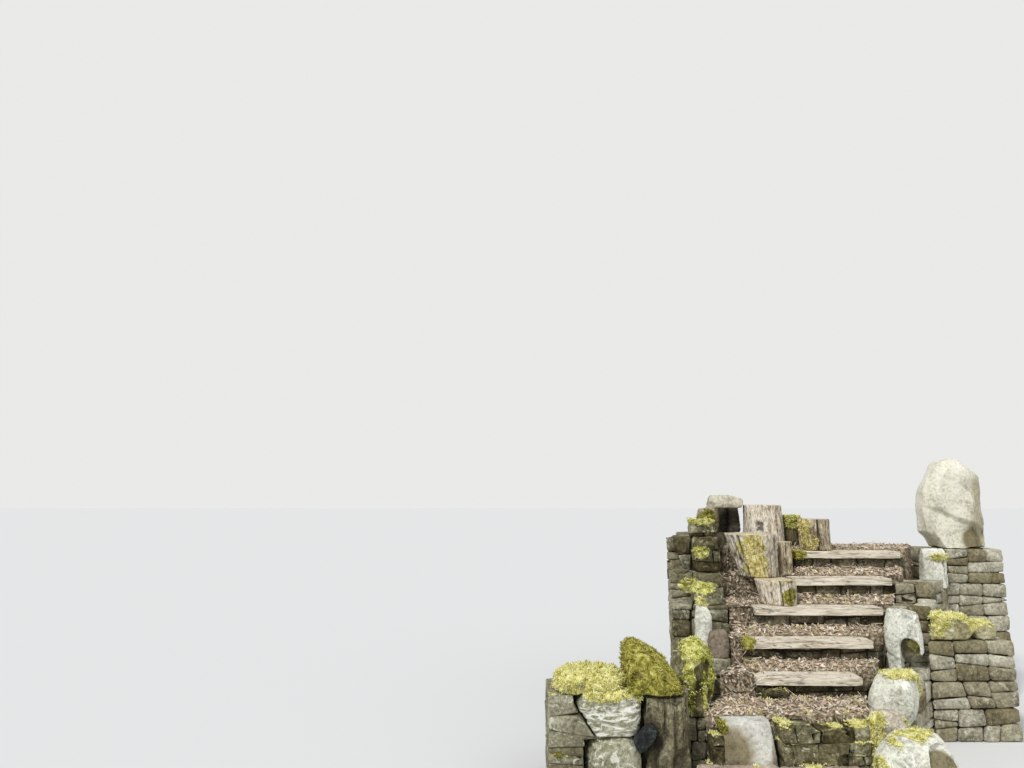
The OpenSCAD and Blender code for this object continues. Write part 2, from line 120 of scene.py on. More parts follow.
class MossKind(Enum):
    """The mosses, each with its tones from dark to light as seen on a screen."""

    OLIVE = ((72, 69, 20), (128, 123, 46), (176, 169, 76), (218, 211, 130))
    YELLOW = ((136, 130, 60), (206, 199, 110), (241, 235, 156), (254, 251, 208))
    OCHRE = ((150, 130, 60), (218, 198, 108), (246, 232, 156), (253, 247, 208))
    CROWN = ((96, 98, 36), (166, 168, 68), (222, 218, 124), (248, 244, 196))


class Graph:
    """Builds one material's nodes with short calls."""

    specular = 0.22
    moss_edge = (0.7, 0.84)
    moss_places = (0.38, 0.45, 0.52, 0.62)
    # near black, the colour of the painted shade in cracks and hollows
    shade_colour: Colour = (0.022, 0.018, 0.012)
    shade_share = 0.94

    def __init__(self, name: str) -> None:
        """Starts the material.

        Args:
            name: the material's name.
        """
        self.material = bpy.data.materials.new(name)
        self.material.use_nodes = True
        self.tree = self.material.node_tree
        self.shader = self.tree.nodes["Principled BSDF"]
        self.coord = self.tree.nodes.new("ShaderNodeTexCoord").outputs["Object"]
        self.normal = self.tree.nodes.new("ShaderNodeNewGeometry").outputs["Normal"]

    def plug(self, value: Value, socket: Socket) -> None:
        """Links a socket or sets a plain value.

        Args:
            value: an output socket, a number or a colour.
            socket: the input that takes it.
        """
        if isinstance(value, Socket):
            self.tree.links.new(value, socket)
        elif isinstance(value, tuple) and len(socket.default_value) == 4:
            socket.default_value = (*value, 1)
        else:
            socket.default_value = value

    def mark(self, mark: Mark) -> Socket:
        """Reads what the piece's points carry.

        Args:
            mark: which of the marks.

        Returns:
            Its value, which is 0 where a mesh doesn't have it.
        """
        node = self.tree.nodes.new("ShaderNodeAttribute")
        node.attribute_name = mark.value
        return node.outputs["Fac"]

    def stretch(self, scale: Point, turn: Point = (0, 0, 0), shift: Point = (0, 0, 0)) -> Socket:
        """Scales and turns the object coordinates.

        Args:
            scale: the factors along the axes.
            turn: the turn in radians.
            shift: the shift in metres.

        Returns:
            The mapped vector.
        """
        node = self.tree.nodes.new("ShaderNodeMapping")
        node.inputs["Scale"].default_value = scale
        node.inputs["Rotation"].default_value = turn
        node.inputs["Location"].default_value = shift
        self.plug(self.coord, node.inputs["Vector"])
        return node.outputs[0]

    def noise(self, scale: float, detail: float = 4, rough: float = 0.55, warp: float = 0,
              vector: Socket | None = None) -> Socket:
        """Adds a noise pattern.

        Args:
            scale: its frequency per metre.
            detail: its octaves.
            rough: the weight of the finer octaves.
            warp: how much it is distorted.
            vector: where it is read, the object coordinates by default.

        Returns:
            Its value.
        """
        node = self.tree.nodes.new("ShaderNodeTexNoise")
        for key, value in (("Scale", scale), ("Detail", detail), ("Roughness", rough), ("Distortion", warp)):
            node.inputs[key].default_value = value
        self.plug(vector or self.coord, node.inputs["Vector"])
        return node.outputs["Fac"]

    def cells(self, scale: float, vector: Socket | None = None) -> Socket:
        """Adds a pattern of cells.

        Args:
            scale: its frequency per metre.
            vector: where it is read, the object coordinates by default.

        Returns:
            The distance to the cell's middle.
        """
        node = self.tree.nodes.new("ShaderNodeTexVoronoi")
        node.inputs["Scale"].default_value = scale
        self.plug(vector or self.coord, node.inputs["Vector"])
        return node.outputs["Distance"]

    def ramp(self, value: Socket, *stops: tuple[float, Colour]) -> Socket:
        """Turns a value into a colour.

        Args:
            value: the value.
            stops: places from 0 to 1 with their colours.

        Returns:
            The colour.
        """
        node = self.tree.nodes.new("ShaderNodeValToRGB")
        band = node.color_ramp
        while len(band.elements) < len(stops):
            band.elements.new(0.5)
        for element, (place, colour) in zip(band.elements, stops):
            element.position = place
            element.color = (*colour, 1)
        self.plug(value, node.inputs["Fac"])
        return node.outputs["Color"]

    def span(self, value: Socket, low: float, high: float, out_low: float = 0,
             out_high: float = 1) -> Socket:
        """Maps a range of a value smoothly to another range.

        Args:
            value: the value.
            low: where the range starts.
            high: where it ends.
            out_low: the result at low.
            out_high: the result at high.

        Returns:
            The mapped value.
        """
        node = self.tree.nodes.new("ShaderNodeMapRange")
        node.interpolation_type = "SMOOTHSTEP"
        for index, number in enumerate((low, high, out_low, out_high), 1):
            node.inputs[index].default_value = number
        self.plug(value, node.inputs[0])
        return node.outputs[0]

    def sum(self, kind: str, a: Value, b: Value) -> Socket:
        """Combines two values.

        Args:
            kind: ADD, MULTIPLY, SUBTRACT, MAXIMUM and so on.
            a: the first value.
            b: the second value.

        Returns:
            The result.
        """
        node = self.tree.nodes.new("ShaderNodeMath")
        node.operation = kind
        self.plug(a, node.inputs[0])
        self.plug(b, node.inputs[1])
        return node.outputs[0]

    def blend(self, a: Socket, b: Socket, share: float) -> Socket:
        """Adds two values by shares.

        Args:
            a: the first value.
            b: the second value.
            share: the share of the second.

        Returns:
            The blended value.
        """
        return self.sum("ADD", self.sum("MULTIPLY", a, 1 - share), self.sum("MULTIPLY", b, share))

    def mix(self, factor: Value, a: Value, b: Value, kind: str = "MIX") -> Socket:
        """Mixes two colours.

        Args:
            factor: the share of the second.
            a: the first colour.
            b: the second colour.
            kind: MIX, MULTIPLY and so on.

        Returns:
            The mixed colour.
        """
        node = self.tree.nodes.new("ShaderNodeMix")
        node.data_type = "RGBA"
        node.blend_type = kind
        self.plug(factor, node.inputs[0])
        self.plug(a, node.inputs[6])
        self.plug(b, node.inputs[7])
        return node.outputs[2]

    def moss_over(self, colour: Socket, kind: MossKind) -> tuple[Socket, Socket]:
        """Lays moss over a colour where the points are marked for it.

        Args:
            colour: the bare colour.
            kind: the moss.

        Returns:
            The colour with moss, and the moss's height.
        """
        edge = self.noise(34, 5, 0.7)
        cover = self.span(self.sum("ADD", self.mark(Mark.MOSS), self.sum("MULTIPLY", edge, 0.6)),
                          *self.moss_edge)
        fuzz = self.noise(300, 3, 0.7)
        tone = self.blend(self.noise(34, 5, 0.66, 0.4), fuzz, 0.3)
        # the tone mark darkens the moss as well, so the moss takes the painted shade too
        tone = self.sum("SUBTRACT", tone, self.sum("MULTIPLY", self.mark(Mark.TONE), 0.09))
        moss = self.ramp(tone, *stops(self.moss_places, kind.value))
        return self.mix(cover, colour, moss), self.sum("MULTIPLY", cover, self.noise(80, 4, 0.7))

    def shade_deep(self, colour: Socket) -> Socket:
        """Paints shade into the bottoms of cracks and hollows.

        Args:
            colour: the colour.

        Returns:
            The shaded colour.
        """
        return self.mix(self.sum("MULTIPLY", self.mark(Mark.DEEP), self.shade_share), colour, self.shade_colour)

    def finish(self, colour: Value, rough: float, *bumps: tuple[Socket, float, float]) -> Material:
        """Plugs the surface together.

        Args:
            colour: the base colour.
            rough: the roughness.
            bumps: heights with their strength and their depth in metres.

        Returns:
            The material.
        """
        self.plug(colour, self.shader.inputs["Base Color"])
        self.shader.inputs["Roughness"].default_value = rough
        self.shader.inputs["Specular IOR Level"].default_value = self.specular
        last = None
        for height, strength, depth in bumps:
            node = self.tree.nodes.new("ShaderNodeBump")
            node.inputs["Strength"].default_value = strength
            node.inputs["Distance"].default_value = depth
            self.plug(height, node.inputs["Height"])
            if last:
                self.plug(last, node.inputs["Normal"])
            last = node.outputs[0]
        if last:
            self.plug(last, self.shader.inputs["Normal"])
        return self.material


class Finish(Protocol):
    """What the workshop needs of a finish."""

    name: str

    def material(self) -> Material:
        """Builds the finish's material."""


@dataclass(frozen=True)
class StoneFinish:
    """Rough stone with grain, speckle and lichen, and moss where its points are marked."""

    name: str
    tones: Tones
    lichen: float = 0.4
    lichen_colour: Screen = (205, 206, 188)
    speckle: float = 0.3
    moss: MossKind = MossKind.YELLOW
    bands: Screen | None = None
    flutes: bool = False

    def material(self) -> Material:
        """Builds the material.

        Returns:
            The stone's material.
        """
        g = Graph(self.name)
        dark = tint(*self.tones[0])
        broad = g.noise(5.5, 5, 0.6, 0.4)
        fine = g.noise(44, 5, 0.68)
        grain = g.noise(200, 3, 0.6)
        colour = g.ramp(g.blend(broad, fine, 0.5), *stops((0.38, 0.49, 0.6), self.tones))
        colour = g.mix(g.span(g.noise(64, 4, 0.75, 0.3), 0.52, 0.6, 0, self.speckle), colour, dark)
        colour = g.mix(g.span(grain, 0.56, 0.72, 0, 0.35), colour, dark)
        if self.bands:
            wave = g.noise(11, 5, 0.68, 1.1, g.stretch((0.7, 0.7, 2.8), (0.12, 0.1, 0)))
            colour = g.mix(g.span(wave, 0.52, 0.57, 0, 0.85), colour, tint(*self.bands))
            colour = g.mix(g.span(wave, 0.45, 0.38, 0, 0.75), colour, dark)
        if self.flutes:
            # dark streaks along the flutes, painted shade of their grooves
            flute = g.noise(20, 4, 0.6, 0.5, g.stretch((1.6, 1.6, 0.22)))
            colour = g.mix(g.span(flute, 0.5, 0.36, 0, 0.8), colour, dark)
        spots = g.noise(19, 5, 0.74, 0.9)
        reach = 0.14 * self.lichen
        colour = g.mix(g.span(spots, 0.66 - reach, 0.7 - reach, 0, 0.85), colour, tint(*self.lichen_colour))
        colour = g.mix(g.span(g.cells(70), 0.22, 0.05, 0, 0.5), colour, dark)
        # the tone mark darkens and browns the colour: random tone of each wall stone, and painted shade in
        # hollows and on sides turned from the light
        tone_and_shade = g.ramp(g.mark(Mark.TONE), (0, (1, 1, 1)), (0.5, (0.72, 0.69, 0.61)), (1, (0.40, 0.35, 0.24)))
        colour = g.mix(1.0, colour, tone_and_shade, "MULTIPLY")
        colour, tufts = g.moss_over(colour, self.moss)
        relief = g.blend(fine, grain, 0.3)
        return g.finish(g.shade_deep(colour), 0.92, (broad, 0.35, 0.03), (relief, 0.6, 0.009),
                        (tufts, 0.8, 0.014))


PALE = StoneFinish("pale_field_stone", ((158, 157, 142), (226, 225, 208), (246, 245, 231)), lichen=0.55,
                   lichen_colour=(250, 250, 240), speckle=0.55)
STANDING = StoneFinish("standing_stone_cream", ((172, 168, 148), (224, 220, 200), (242, 239, 222)),
                       lichen=0.35, lichen_colour=(212, 204, 160))
GRANITE = StoneFinish("speckled_grey_stone", ((144, 144, 132), (216, 216, 200), (244, 243, 230)), lichen=0.6,
                      lichen_colour=(250, 249, 240), speckle=0.6)
BLOCK = StoneFinish("squared_pale_block", ((160, 159, 150), (210, 208, 198), (234, 232, 224)), lichen=0.35,
                    lichen_colour=(244, 243, 236), speckle=0.35)
WALL = StoneFinish("dry_wall_stone", ((84, 80, 62), (136, 131, 108), (180, 176, 152)), lichen=0.6,
                   lichen_colour=(206, 207, 186), speckle=0.4)
PALE_WALL = StoneFinish("pale_wall_stone", ((118, 113, 96), (176, 171, 150), (214, 210, 190)), lichen=0.6,
                        lichen_colour=(226, 225, 208), speckle=0.45)
# darkened to paint the shade under the boards
SHADED_RISER = StoneFinish("riser_rubble_painted_shade", ((44, 40, 30), (88, 82, 64), (138, 130, 108)), lichen=0.5,
                    lichen_colour=(166, 164, 138), speckle=0.4, moss=MossKind.OLIVE)
ROSY = StoneFinish("rosy_field_stone", ((126, 114, 98), (192, 180, 162), (232, 223, 208)),
                   lichen_colour=(244, 240, 228), speckle=0.4)
SHELF = StoneFinish("flat_slab_stone", ((108, 101, 84), (178, 170, 148), (226, 219, 199)), lichen=0.35,
                    lichen_colour=(236, 230, 216), speckle=0.4, moss=MossKind.OLIVE)
STACKED = StoneFinish("stacked_stone", ((66, 63, 46), (120, 115, 88), (170, 165, 136)), lichen=0.55,
                      lichen_colour=(206, 206, 180), speckle=0.4)
QUOIN = StoneFinish("banded_quoin", ((112, 112, 88), (160, 158, 132), (198, 196, 174)), lichen=0.6,
                    lichen_colour=(228, 227, 212), speckle=0.4, bands=(240, 239, 228))
SPECKLED = StoneFinish("corner_base_stone", ((98, 96, 74), (150, 147, 120), (194, 190, 166)), lichen=0.85,
                       lichen_colour=(226, 226, 210), speckle=0.5)
FLUTED = StoneFinish("fluted_side_stone", ((66, 60, 44), (124, 117, 90), (168, 162, 132)), lichen=0.45,
                     lichen_colour=(190, 190, 156), speckle=0.4, moss=MossKind.OLIVE, flutes=True)
MOSSY = StoneFinish("mossy_stone", ((88, 80, 46), (140, 132, 90), (184, 178, 142)),
                    lichen_colour=(212, 210, 184), speckle=0.4, moss=MossKind.OLIVE)
BRIGHT = StoneFinish("bright_mossy_stone", ((100, 92, 58), (158, 150, 112), (200, 194, 160)), lichen=0.5,
                     lichen_colour=(222, 220, 200), speckle=0.4)
DRAPED = StoneFinish("moss_draped_stone", ((76, 72, 44), (118, 112, 80), (164, 158, 128)),
                     lichen_colour=(196, 190, 160), speckle=0.4, moss=MossKind.CROWN, flutes=True)
BROWN = StoneFinish("brown_stone", ((74, 62, 50), (122, 109, 93), (158, 144, 126)), lichen=0.2,
                    lichen_colour=(182, 172, 154), speckle=0.2)
FLAG = StoneFinish("foot_flag_stone", ((120, 104, 86), (178, 160, 142), (214, 200, 186)), lichen=0.35,
                   lichen_colour=(226, 220, 208), speckle=0.35)
SLATE = StoneFinish("dark_slate", ((22, 23, 23), (43, 46, 46), (78, 84, 84)), lichen=0.2,
                    lichen_colour=(112, 118, 114), speckle=0.1)


@dataclass(frozen=True)
class BoardFinish:
    """Bare board weathered to a grey tan, with long grain, splits and knots."""

    name: str = "weathered_board"
    tones: Tones = ((120, 108, 90), (196, 184, 162), (228, 218, 198), (246, 238, 222))
    bleached: Screen = (240, 231, 212)
    streaked: Screen = (102, 90, 72)
    stained: Screen = (132, 112, 94)
    knotted: Screen = (86, 66, 52)

    def material(self) -> Material:
        """Builds the material.

        Returns:
            The board's material.
        """
        g = Graph(self.name)
        grain = g.noise(3.2, 6, 0.66, 0.7, g.stretch((1.6, 30, 30)))
        streak = g.noise(9, 4, 0.6, 0.2, g.stretch((0.7, 34, 34)))
        broad = g.noise(4.5, 4, 0.6, 0.5, g.stretch((0.8, 3, 3)))
        darkening = g.noise(13, 4, 0.7, 1.2, g.stretch((1, 1.6, 1.6)))
        knot = g.cells(3.1, g.stretch((1, 2.6, 2.6), (0, 0, 0), (0.4, 0.3, 0.2)))
        colour = g.ramp(grain, *stops((0.34, 0.45, 0.54, 0.68), self.tones))
        colour = g.mix(g.span(broad, 0.42, 0.66, 0, 0.55), colour, tint(*self.bleached))
        colour = g.mix(g.span(streak, 0.6, 0.7, 0, 0.75), colour, tint(*self.streaked))
        colour = g.mix(g.span(darkening, 0.58, 0.7, 0, 0.6), colour, tint(*self.stained))
        colour = g.mix(g.span(knot, 0.09, 0.03, 0, 0.85), colour, tint(*self.knotted))
        colour, tufts = g.moss_over(colour, MossKind.OLIVE)
        return g.finish(g.shade_deep(colour), 0.86, (grain, 0.5, 0.006), (streak, 0.5, 0.005),
                        (tufts, 0.6, 0.008))


@dataclass(frozen=True)
class BarkFinish:
    """Bark of a cut log, ridged up and down, with moss where its points are marked."""

    name: str
    tones: Tones
    moss: MossKind = MossKind.YELLOW
    # painted shade in the bark's grooves
    groove: Screen = (96, 76, 50)

    def material(self) -> Material:
        """Builds the material.

        Returns:
            The bark's material.
        """
        g = Graph(self.name)
        upright = g.stretch((1, 1, 0.2))
        ridge = g.noise(58, 5, 0.64, 0.5, upright)
        fine = g.noise(190, 4, 0.6, 0.2, g.stretch((1, 1, 0.5)))
        broad = g.noise(7, 4, 0.6, 0.3)
        groove = g.sum("ABSOLUTE", g.sum("SUBTRACT", g.noise(36, 4, 0.66, 0.5, upright), 0.5), 0)
        colour = g.ramp(g.blend(ridge, broad, 0.3), *stops((0.37, 0.45, 0.54), self.tones))
        colour = g.mix(g.span(fine, 0.54, 0.7, 0, 0.4), colour, tint(*self.tones[0]))
        colour, tufts = g.moss_over(colour, self.moss)
        # the grooves are painted darker, as the shade in them
        colour = g.mix(g.span(groove, 0.032, 0.006, 0, 0.7), colour, tint(*self.groove))
        return g.finish(g.shade_deep(colour), 0.9, (ridge, 0.7, 0.01), (groove, 0.6, 0.02),
                        (fine, 0.5, 0.003),
                        (tufts, 0.8, 0.012))


@dataclass(frozen=True)
class SawnFinish:
    """Sawn end of a log with its rings and stained patches."""

    name: str
    middle: Point
    light: Screen = (222, 208, 184)
    dark: Screen = (158, 136, 108)
    stained: Screen = (128, 110, 84)
    rings: float = 900  # radians per metre, so one ring every 7 mm

    def material(self) -> Material:
        """Builds the material.

        Returns:
            The sawn end's material.
        """
        g = Graph(self.name)
        out = g.tree.nodes.new("ShaderNodeVectorMath")
        out.operation = "DISTANCE"
        g.plug(g.stretch((1, 1, 0)), out.inputs[0])
        out.inputs[1].default_value = (self.middle[0], self.middle[1], 0)
        wobble = g.sum("MULTIPLY", g.noise(9, 3, 0.5), 0.02)
        rings = g.sum("SINE", g.sum("MULTIPLY", g.sum("ADD", out.outputs["Value"], wobble), self.rings), 0)
        colour = g.mix(g.span(rings, -1, 1, 0, 0.5), tint(*self.light), tint(*self.dark))
        colour = g.mix(g.span(g.noise(30, 4, 0.6), 0.5, 0.7, 0, 0.6), colour, tint(*self.stained))
        colour, tufts = g.moss_over(colour, MossKind.YELLOW)
        return g.finish(g.shade_deep(colour), 0.88, (rings, 0.25, 0.002), (g.noise(120, 3, 0.6), 0.3, 0.003),
                        (tufts, 0.6, 0.01))


@dataclass(frozen=True)
class LitterFinish:
    """Earth, dead leaves or wood chips in browns."""

    name: str
    tones: Tones
    scale: float
    fine: float = 260

    def material(self) -> Material:
        """Builds the material.

        Returns:
            The litter's material.
        """
        g = Graph(self.name)
        broad = g.noise(self.scale, 4, 0.7, 0.3)
        fine = g.noise(self.fine, 3, 0.7)
        colour = g.ramp(g.blend(broad, fine, 0.25), *stops((0.36, 0.45, 0.54, 0.64), self.tones))
        return g.finish(colour, 0.93, (fine, 0.5, 0.004), (g.noise(60, 4, 0.7), 0.5, 0.008))


EARTH = LitterFinish("earth", ((62, 52, 38), (116, 102, 80), (174, 158, 134), (222, 209, 186)), scale=46)
# darker than the earth, to paint the shade that lies over the side bank
SHADED_BANK_EARTH = LitterFinish("bank_earth_painted_shade", ((44, 38, 28), (86, 76, 60), (136, 122, 100), (196, 182, 158)),
                          scale=46)
# earth in the walls' gaps, painted near black for the shade in them
JOINT_EARTH_AND_SHADE = LitterFinish("joint_earth_painted_shade", ((24, 20, 15), (38, 33, 26), (54, 47, 36), (74, 65, 50)), scale=40)
LEAVES = LitterFinish("dry_leaves", ((110, 90, 66), (182, 158, 132), (228, 209, 186), (252, 244, 228)),
                      scale=26)
TWIGS = LitterFinish("dry_twigs", ((96, 82, 66), (164, 148, 126), (212, 198, 176), (242, 234, 216)), scale=20)
CHIPS = LitterFinish("stone_chips", ((120, 112, 96), (168, 160, 142), (204, 198, 182), (234, 230, 218)),
                     scale=30)
RUST = LitterFinish("rusty_nail", ((60, 38, 28), (92, 58, 42), (120, 80, 58), (150, 106, 80)), scale=300)


@dataclass(frozen=True)
class SprigFinish:
    """Moss sprigs of one kind."""

    kind: MossKind

    @property
    def name(self) -> str:
        """Gives the finish's name."""
        return "moss_sprigs_" + self.kind.name.lower()

    def material(self) -> Material:
        """Builds the material.

        Returns:
            The moss's material.
        """
        g = Graph(self.name)
        tone = g.blend(g.noise(26, 4, 0.66), g.noise(150, 2, 0.6), 0.4)
        colour = g.ramp(tone, *stops((0.38, 0.45, 0.52, 0.6), self.kind.value))
        return g.finish(colour, 0.9, (g.noise(400, 2, 0.6), 0.3, 0.002))


def ripple(place: Vector, size: float, seed: float) -> float:
    """Reads smooth noise.

    Args:
        place: where it is read.
        size: the size of its lumps in metres.
        seed: a shift that gives another pattern.

    Returns:
        A value from about -1 to 1.
    """
    return noise.noise(place / size + Vector((seed, 2.3 * seed, -1.7 * seed)))


def clamp(value: float) -> float:
    """Holds a value between 0 and 1."""
    return max(0.0, min(1.0, value))


def extent(bm: BMesh) -> tuple[Vector, Vector]:
    """Measures a mesh.

    Args:
        bm: the mesh.

    Returns:
        Its lowest corner and its size.
    """
    low = Vector([min(v.co[i] for v in bm.verts) for i in range(3)])
    high = Vector([max(v.co[i] for v in bm.verts) for i in range(3)])
    return low, high - low


def within(low: Vector, size: Vector, shares: Point) -> Vector:
    """Finds a place in a box by shares of its sides.

    Args:
        low: the box's lowest corner.
        size: the box's size.
        shares: the shares, from 0 to 1 inside the box.

    Returns:
        The place.
    """
    return low + Vector([side * share for side, share in zip(size, shares)])


def leaning(facing: Vector, sway: float, rise: float, dice: random.Random) -> Vector:
    """Tips a direction sideways by chance.

    Args:
        facing: the direction.
        sway: how far it may tip each way.
        rise: how far it is tipped up.
        dice: the random source.

    Returns:
        The tipped direction.
    """
    return (facing + Vector((dice.uniform(-sway, sway), dice.uniform(-sway, sway), rise))).normalized()


def stood(facing: Vector, spin: float = 0.0) -> Matrix:
    """Makes the turn that stands a shape up along a direction.

    Args:
        facing: the direction.
        spin: the shape's spin about its own axis in radians.

    Returns:
        The turn.
    """
    return UP.rotation_difference(facing).to_matrix().to_4x4() @ Matrix.Rotation(spin, 4, "Z")


def stored(bm: BMesh, name: str) -> bpy.types.Mesh:
    """Turns a working mesh into a stored one.

    Args:
        bm: the working mesh, which is freed.
        name: the stored mesh's name.

    Returns:
        The stored mesh.
    """
    mesh = bpy.data.meshes.new(name)
    bm.to_mesh(mesh)
    bm.free()
    return mesh


def placed(name: str, data: bpy.types.ID) -> bpy.types.Object:
    """Puts a mesh, lamp or camera into the scene.

    Args:
        name: the object's name.
        data: what it shows.

    Returns:
        The object.
    """
    made = bpy.data.objects.new(name, data)
    bpy.context.scene.collection.objects.link(made)
    return made


def pour(source: BMesh, bank: BMesh) -> None:
    """Adds one mesh to another.

    Args:
        source: the mesh to add, which is freed.
        bank: the mesh that takes it.
    """
    scratch = stored(source, "scratch")
    bank.from_mesh(scratch)
    bpy.data.meshes.remove(scratch)


def cut(bm: BMesh, point: Vector, facing: Vector, **options: bool) -> dict[str, list]:
    """Cuts all faces of a mesh where a plane meets them.

    Args:
        bm: the mesh.
        point: a point on the plane.
        facing: the direction that the plane faces.
        options: what to clear on either side.

    Returns:
        The cut's parts, as the operator gives them.
    """
    return bmesh.ops.bisect_plane(bm, geom=bm.verts[:] + bm.edges[:] + bm.faces[:], dist=1e-6, plane_co=point,
                                  plane_no=facing, **options)


def cut_off(bm: BMesh, point: Vector, facing: Vector) -> None:
    """Removes what lies beyond a plane from a closed mesh and closes the cut.

    Args:
        bm: the mesh.
        point: a point on the plane.
        facing: the direction that the plane faces.
    """
    made = cut(bm, point, facing, clear_outer=True)["geom_cut"]
    rim = [e for e in made if isinstance(e, BMEdge) and e.is_valid and e.is_boundary]
    if rim:
        bmesh.ops.edgenet_fill(bm, edges=rim)


def slice_up(bm: BMesh, axis: int, step: float) -> None:
    """Cuts a mesh's faces into even strips.

    Args:
        bm: the mesh.
        axis: the axis that the strips are counted along.
        step: the strips' width in metres.
    """
    low, size = extent(bm)
    direction = Vector([1.0 if i == axis else 0.0 for i in range(3)])
    count = max(2, round(size[axis] / step))
    for k in range(1, count):
        cut(bm, direction * (low[axis] + size[axis] * k / count), direction)


def ease(bm: BMesh, edges: Iterable[BMEdge], width: float, rounds: int = 2) -> None:
    """Wears edges round.

    Args:
        bm: the mesh.
        edges: the edges.
        width: how far the wear reaches from each edge.
        rounds: the faces across each worn edge.
    """
    bmesh.ops.bevel(bm, geom=list(edges), offset=width, offset_type="OFFSET", segments=rounds, profile=0.5,
                    affect="EDGES", clamp_overlap=True, material=-1)


class Strewn(Enum):
    """The small shapes that are strewn by the hundred."""

    SPRIGS = "sprigs"
    LEAF = "leaf"
    TWIG = "twig"
    CHIP = "chip"


class Strewer:
    """Makes the small shapes once and strews turned copies of them."""

    variants = 6
    lot = 48
    tuft = 8
    tuft_spread = 0.014
    leaf_thick = 0.0012

    def __init__(self) -> None:
        """Starts with no shapes."""
        self.shapes: dict[tuple[Strewn, int], list[bpy.types.Mesh]] = {}

    def shape(self, kind: Strewn, index: int) -> list[bpy.types.Mesh]:
        """Hands out the variants of a small shape.

        Args:
            kind: the shape.
            index: the material index that its faces take.

        Returns:
            The variants' meshes.
        """
        if (kind, index) not in self.shapes:
            maker = {Strewn.SPRIGS: self.sprigs, Strewn.LEAF: self.leaf, Strewn.TWIG: self.twig,
                     Strewn.CHIP: self.chip}[kind]
            made = []
            for number in range(self.variants):
                bm = maker(random.Random(number))
                for face in bm.faces:
                    face.material_index = index
                made.append(stored(bm, kind.value))
            self.shapes[(kind, index)] = made
        return self.shapes[(kind, index)]

    def sprigs(self, dice: random.Random) -> BMesh:
        """Makes a tuft of moss sprigs that lean apart.

        Args:
            dice: the random source.

        Returns:
            The tuft, standing on the origin.
        """
        bm = bmesh.new()
        spread = self.tuft_spread
        for _ in range(self.tuft):
            tall = dice.uniform(0.008, 0.017)
            out = Vector((dice.uniform(-spread, spread), dice.uniform(-spread, spread), 0))
            lean = leaning(UP + out * 45, 0.3, 0, dice)
            bmesh.ops.create_cone(bm, cap_ends=True, segments=3, radius1=dice.uniform(0.0034, 0.0060),
                                  radius2=0,
                                  depth=tall,
                                  matrix=Matrix.Translation(out + lean * tall * 0.4) @ stood(lean))
        return bm

    def leaf(self, dice: random.Random) -> BMesh:
        """Makes a dead leaf that curls.

        Args:
            dice: the random source.

        Returns:
            The leaf, lying on the origin.
        """
        bm = bmesh.new()
        long, curl = dice.uniform(0.016, 0.042), dice.uniform(-6, 16)
        wide = long * dice.uniform(0.28, 0.6)
        bmesh.ops.create_cone(bm, cap_ends=True, segments=6, radius1=0.5, radius2=0.5, depth=1)
        bmesh.ops.scale(bm, vec=(long, wide, self.leaf_thick), verts=bm.verts)
        for vert in bm.verts:
            vert.co.y *= 1 - 0.5 * abs(vert.co.x) / (long / 2)
            vert.co.z += curl * (vert.co.y ** 2 * 3 + vert.co.x ** 2)
        return bm

    def twig(self, dice: random.Random) -> BMesh:
        """Makes a twig with one or two bends.

        Args:
            dice: the random source.

        Returns:
            The twig, lying along the first axis.
        """
        bm = bmesh.new()
        long, thick = dice.uniform(0.05, 0.17), dice.uniform(0.0014, 0.003)
        bmesh.ops.create_cone(bm, cap_ends=True, segments=3, radius1=thick * 1.1, radius2=thick * 0.6,
                              depth=long,
                              matrix=Matrix.Rotation(math.radians(90), 4, "Y"))
        for share in (-0.2, 0.2):
            cut(bm, Vector((long * share, 0, 0)), Vector((1, 0, 0)))
        swing, rise = dice.uniform(-0.5, 0.5), dice.uniform(0.05, 0.35)
        for vert in bm.verts:
            bend = abs(vert.co.x) / long
            vert.co.y += swing * bend * bend * long
            vert.co.z += rise * bend * long * (1 if vert.co.x > 0 else 0.2) + thick
        return bm

    def chip(self, dice: random.Random) -> BMesh:
        """Makes a small broken stone.

        Args:
            dice: the random source.

        Returns:
            The chip, lying on the origin.
        """
        bm = bmesh.new()
        bmesh.ops.create_icosphere(bm, subdivisions=1, radius=0.5)
        size = Vector((dice.uniform(0.014, 0.034), dice.uniform(0.010, 0.022), dice.uniform(0.006, 0.014)))
        for vert in bm.verts:
            vert.co = Vector([c * s * dice.uniform(0.75, 1.1) for c, s in zip(vert.co, size)])
        return bm

    def strew(self, bm: BMesh, kind: Strewn, index: int, places: Iterable[Matrix],
              dice: random.Random) -> None:
        """Adds copies of a small shape, a lot at a time, because a small mesh grows faster than a big one.

        Args:
            bm: the mesh that takes them.
            kind: the shape.
            index: the material index that their faces take.
            places: where each copy goes.
            dice: the random source.
        """
        shapes = self.shape(kind, index)
        lot = bmesh.new()
        for number, place in enumerate(places, 1):
            start = len(lot.verts)
            lot.from_mesh(dice.choice(shapes))
            lot.verts.ensure_lookup_table()
            bmesh.ops.transform(lot, matrix=place, verts=lot.verts[start:])
            if number % self.lot == 0:
                pour(lot, bm)
                lot = bmesh.new()
        pour(lot, bm)


def scattered(faces: list[BMFace], count: int, dice: random.Random) -> list[tuple[Vector, Vector]]:
    """Picks points on faces, evenly by area.

    The faces are sorted first, so that their order in the mesh has no say.

    Args:
        faces: the faces.
        count: how many points.
        dice: the random source.

    Returns:
        Each point with the face's normal.
    """
    if not faces or count < 1:
        return []
    spots = [(f.calc_center_median().copy(), f.normal.copy(), math.sqrt(f.calc_area())) for f in faces]
    spots.sort(key=lambda spot: tuple(round(c, 4) for c in spot[0]))
    picked = dice.choices(spots, [reach * reach for _, _, reach in spots], k=count)
    found = []
    for place, facing, reach in picked:
        aside = Vector((dice.uniform(-0.5, 0.5) * reach, dice.uniform(-0.5, 0.5) * reach, 0))
        found.append((place + aside * facing.z, facing))
    return found


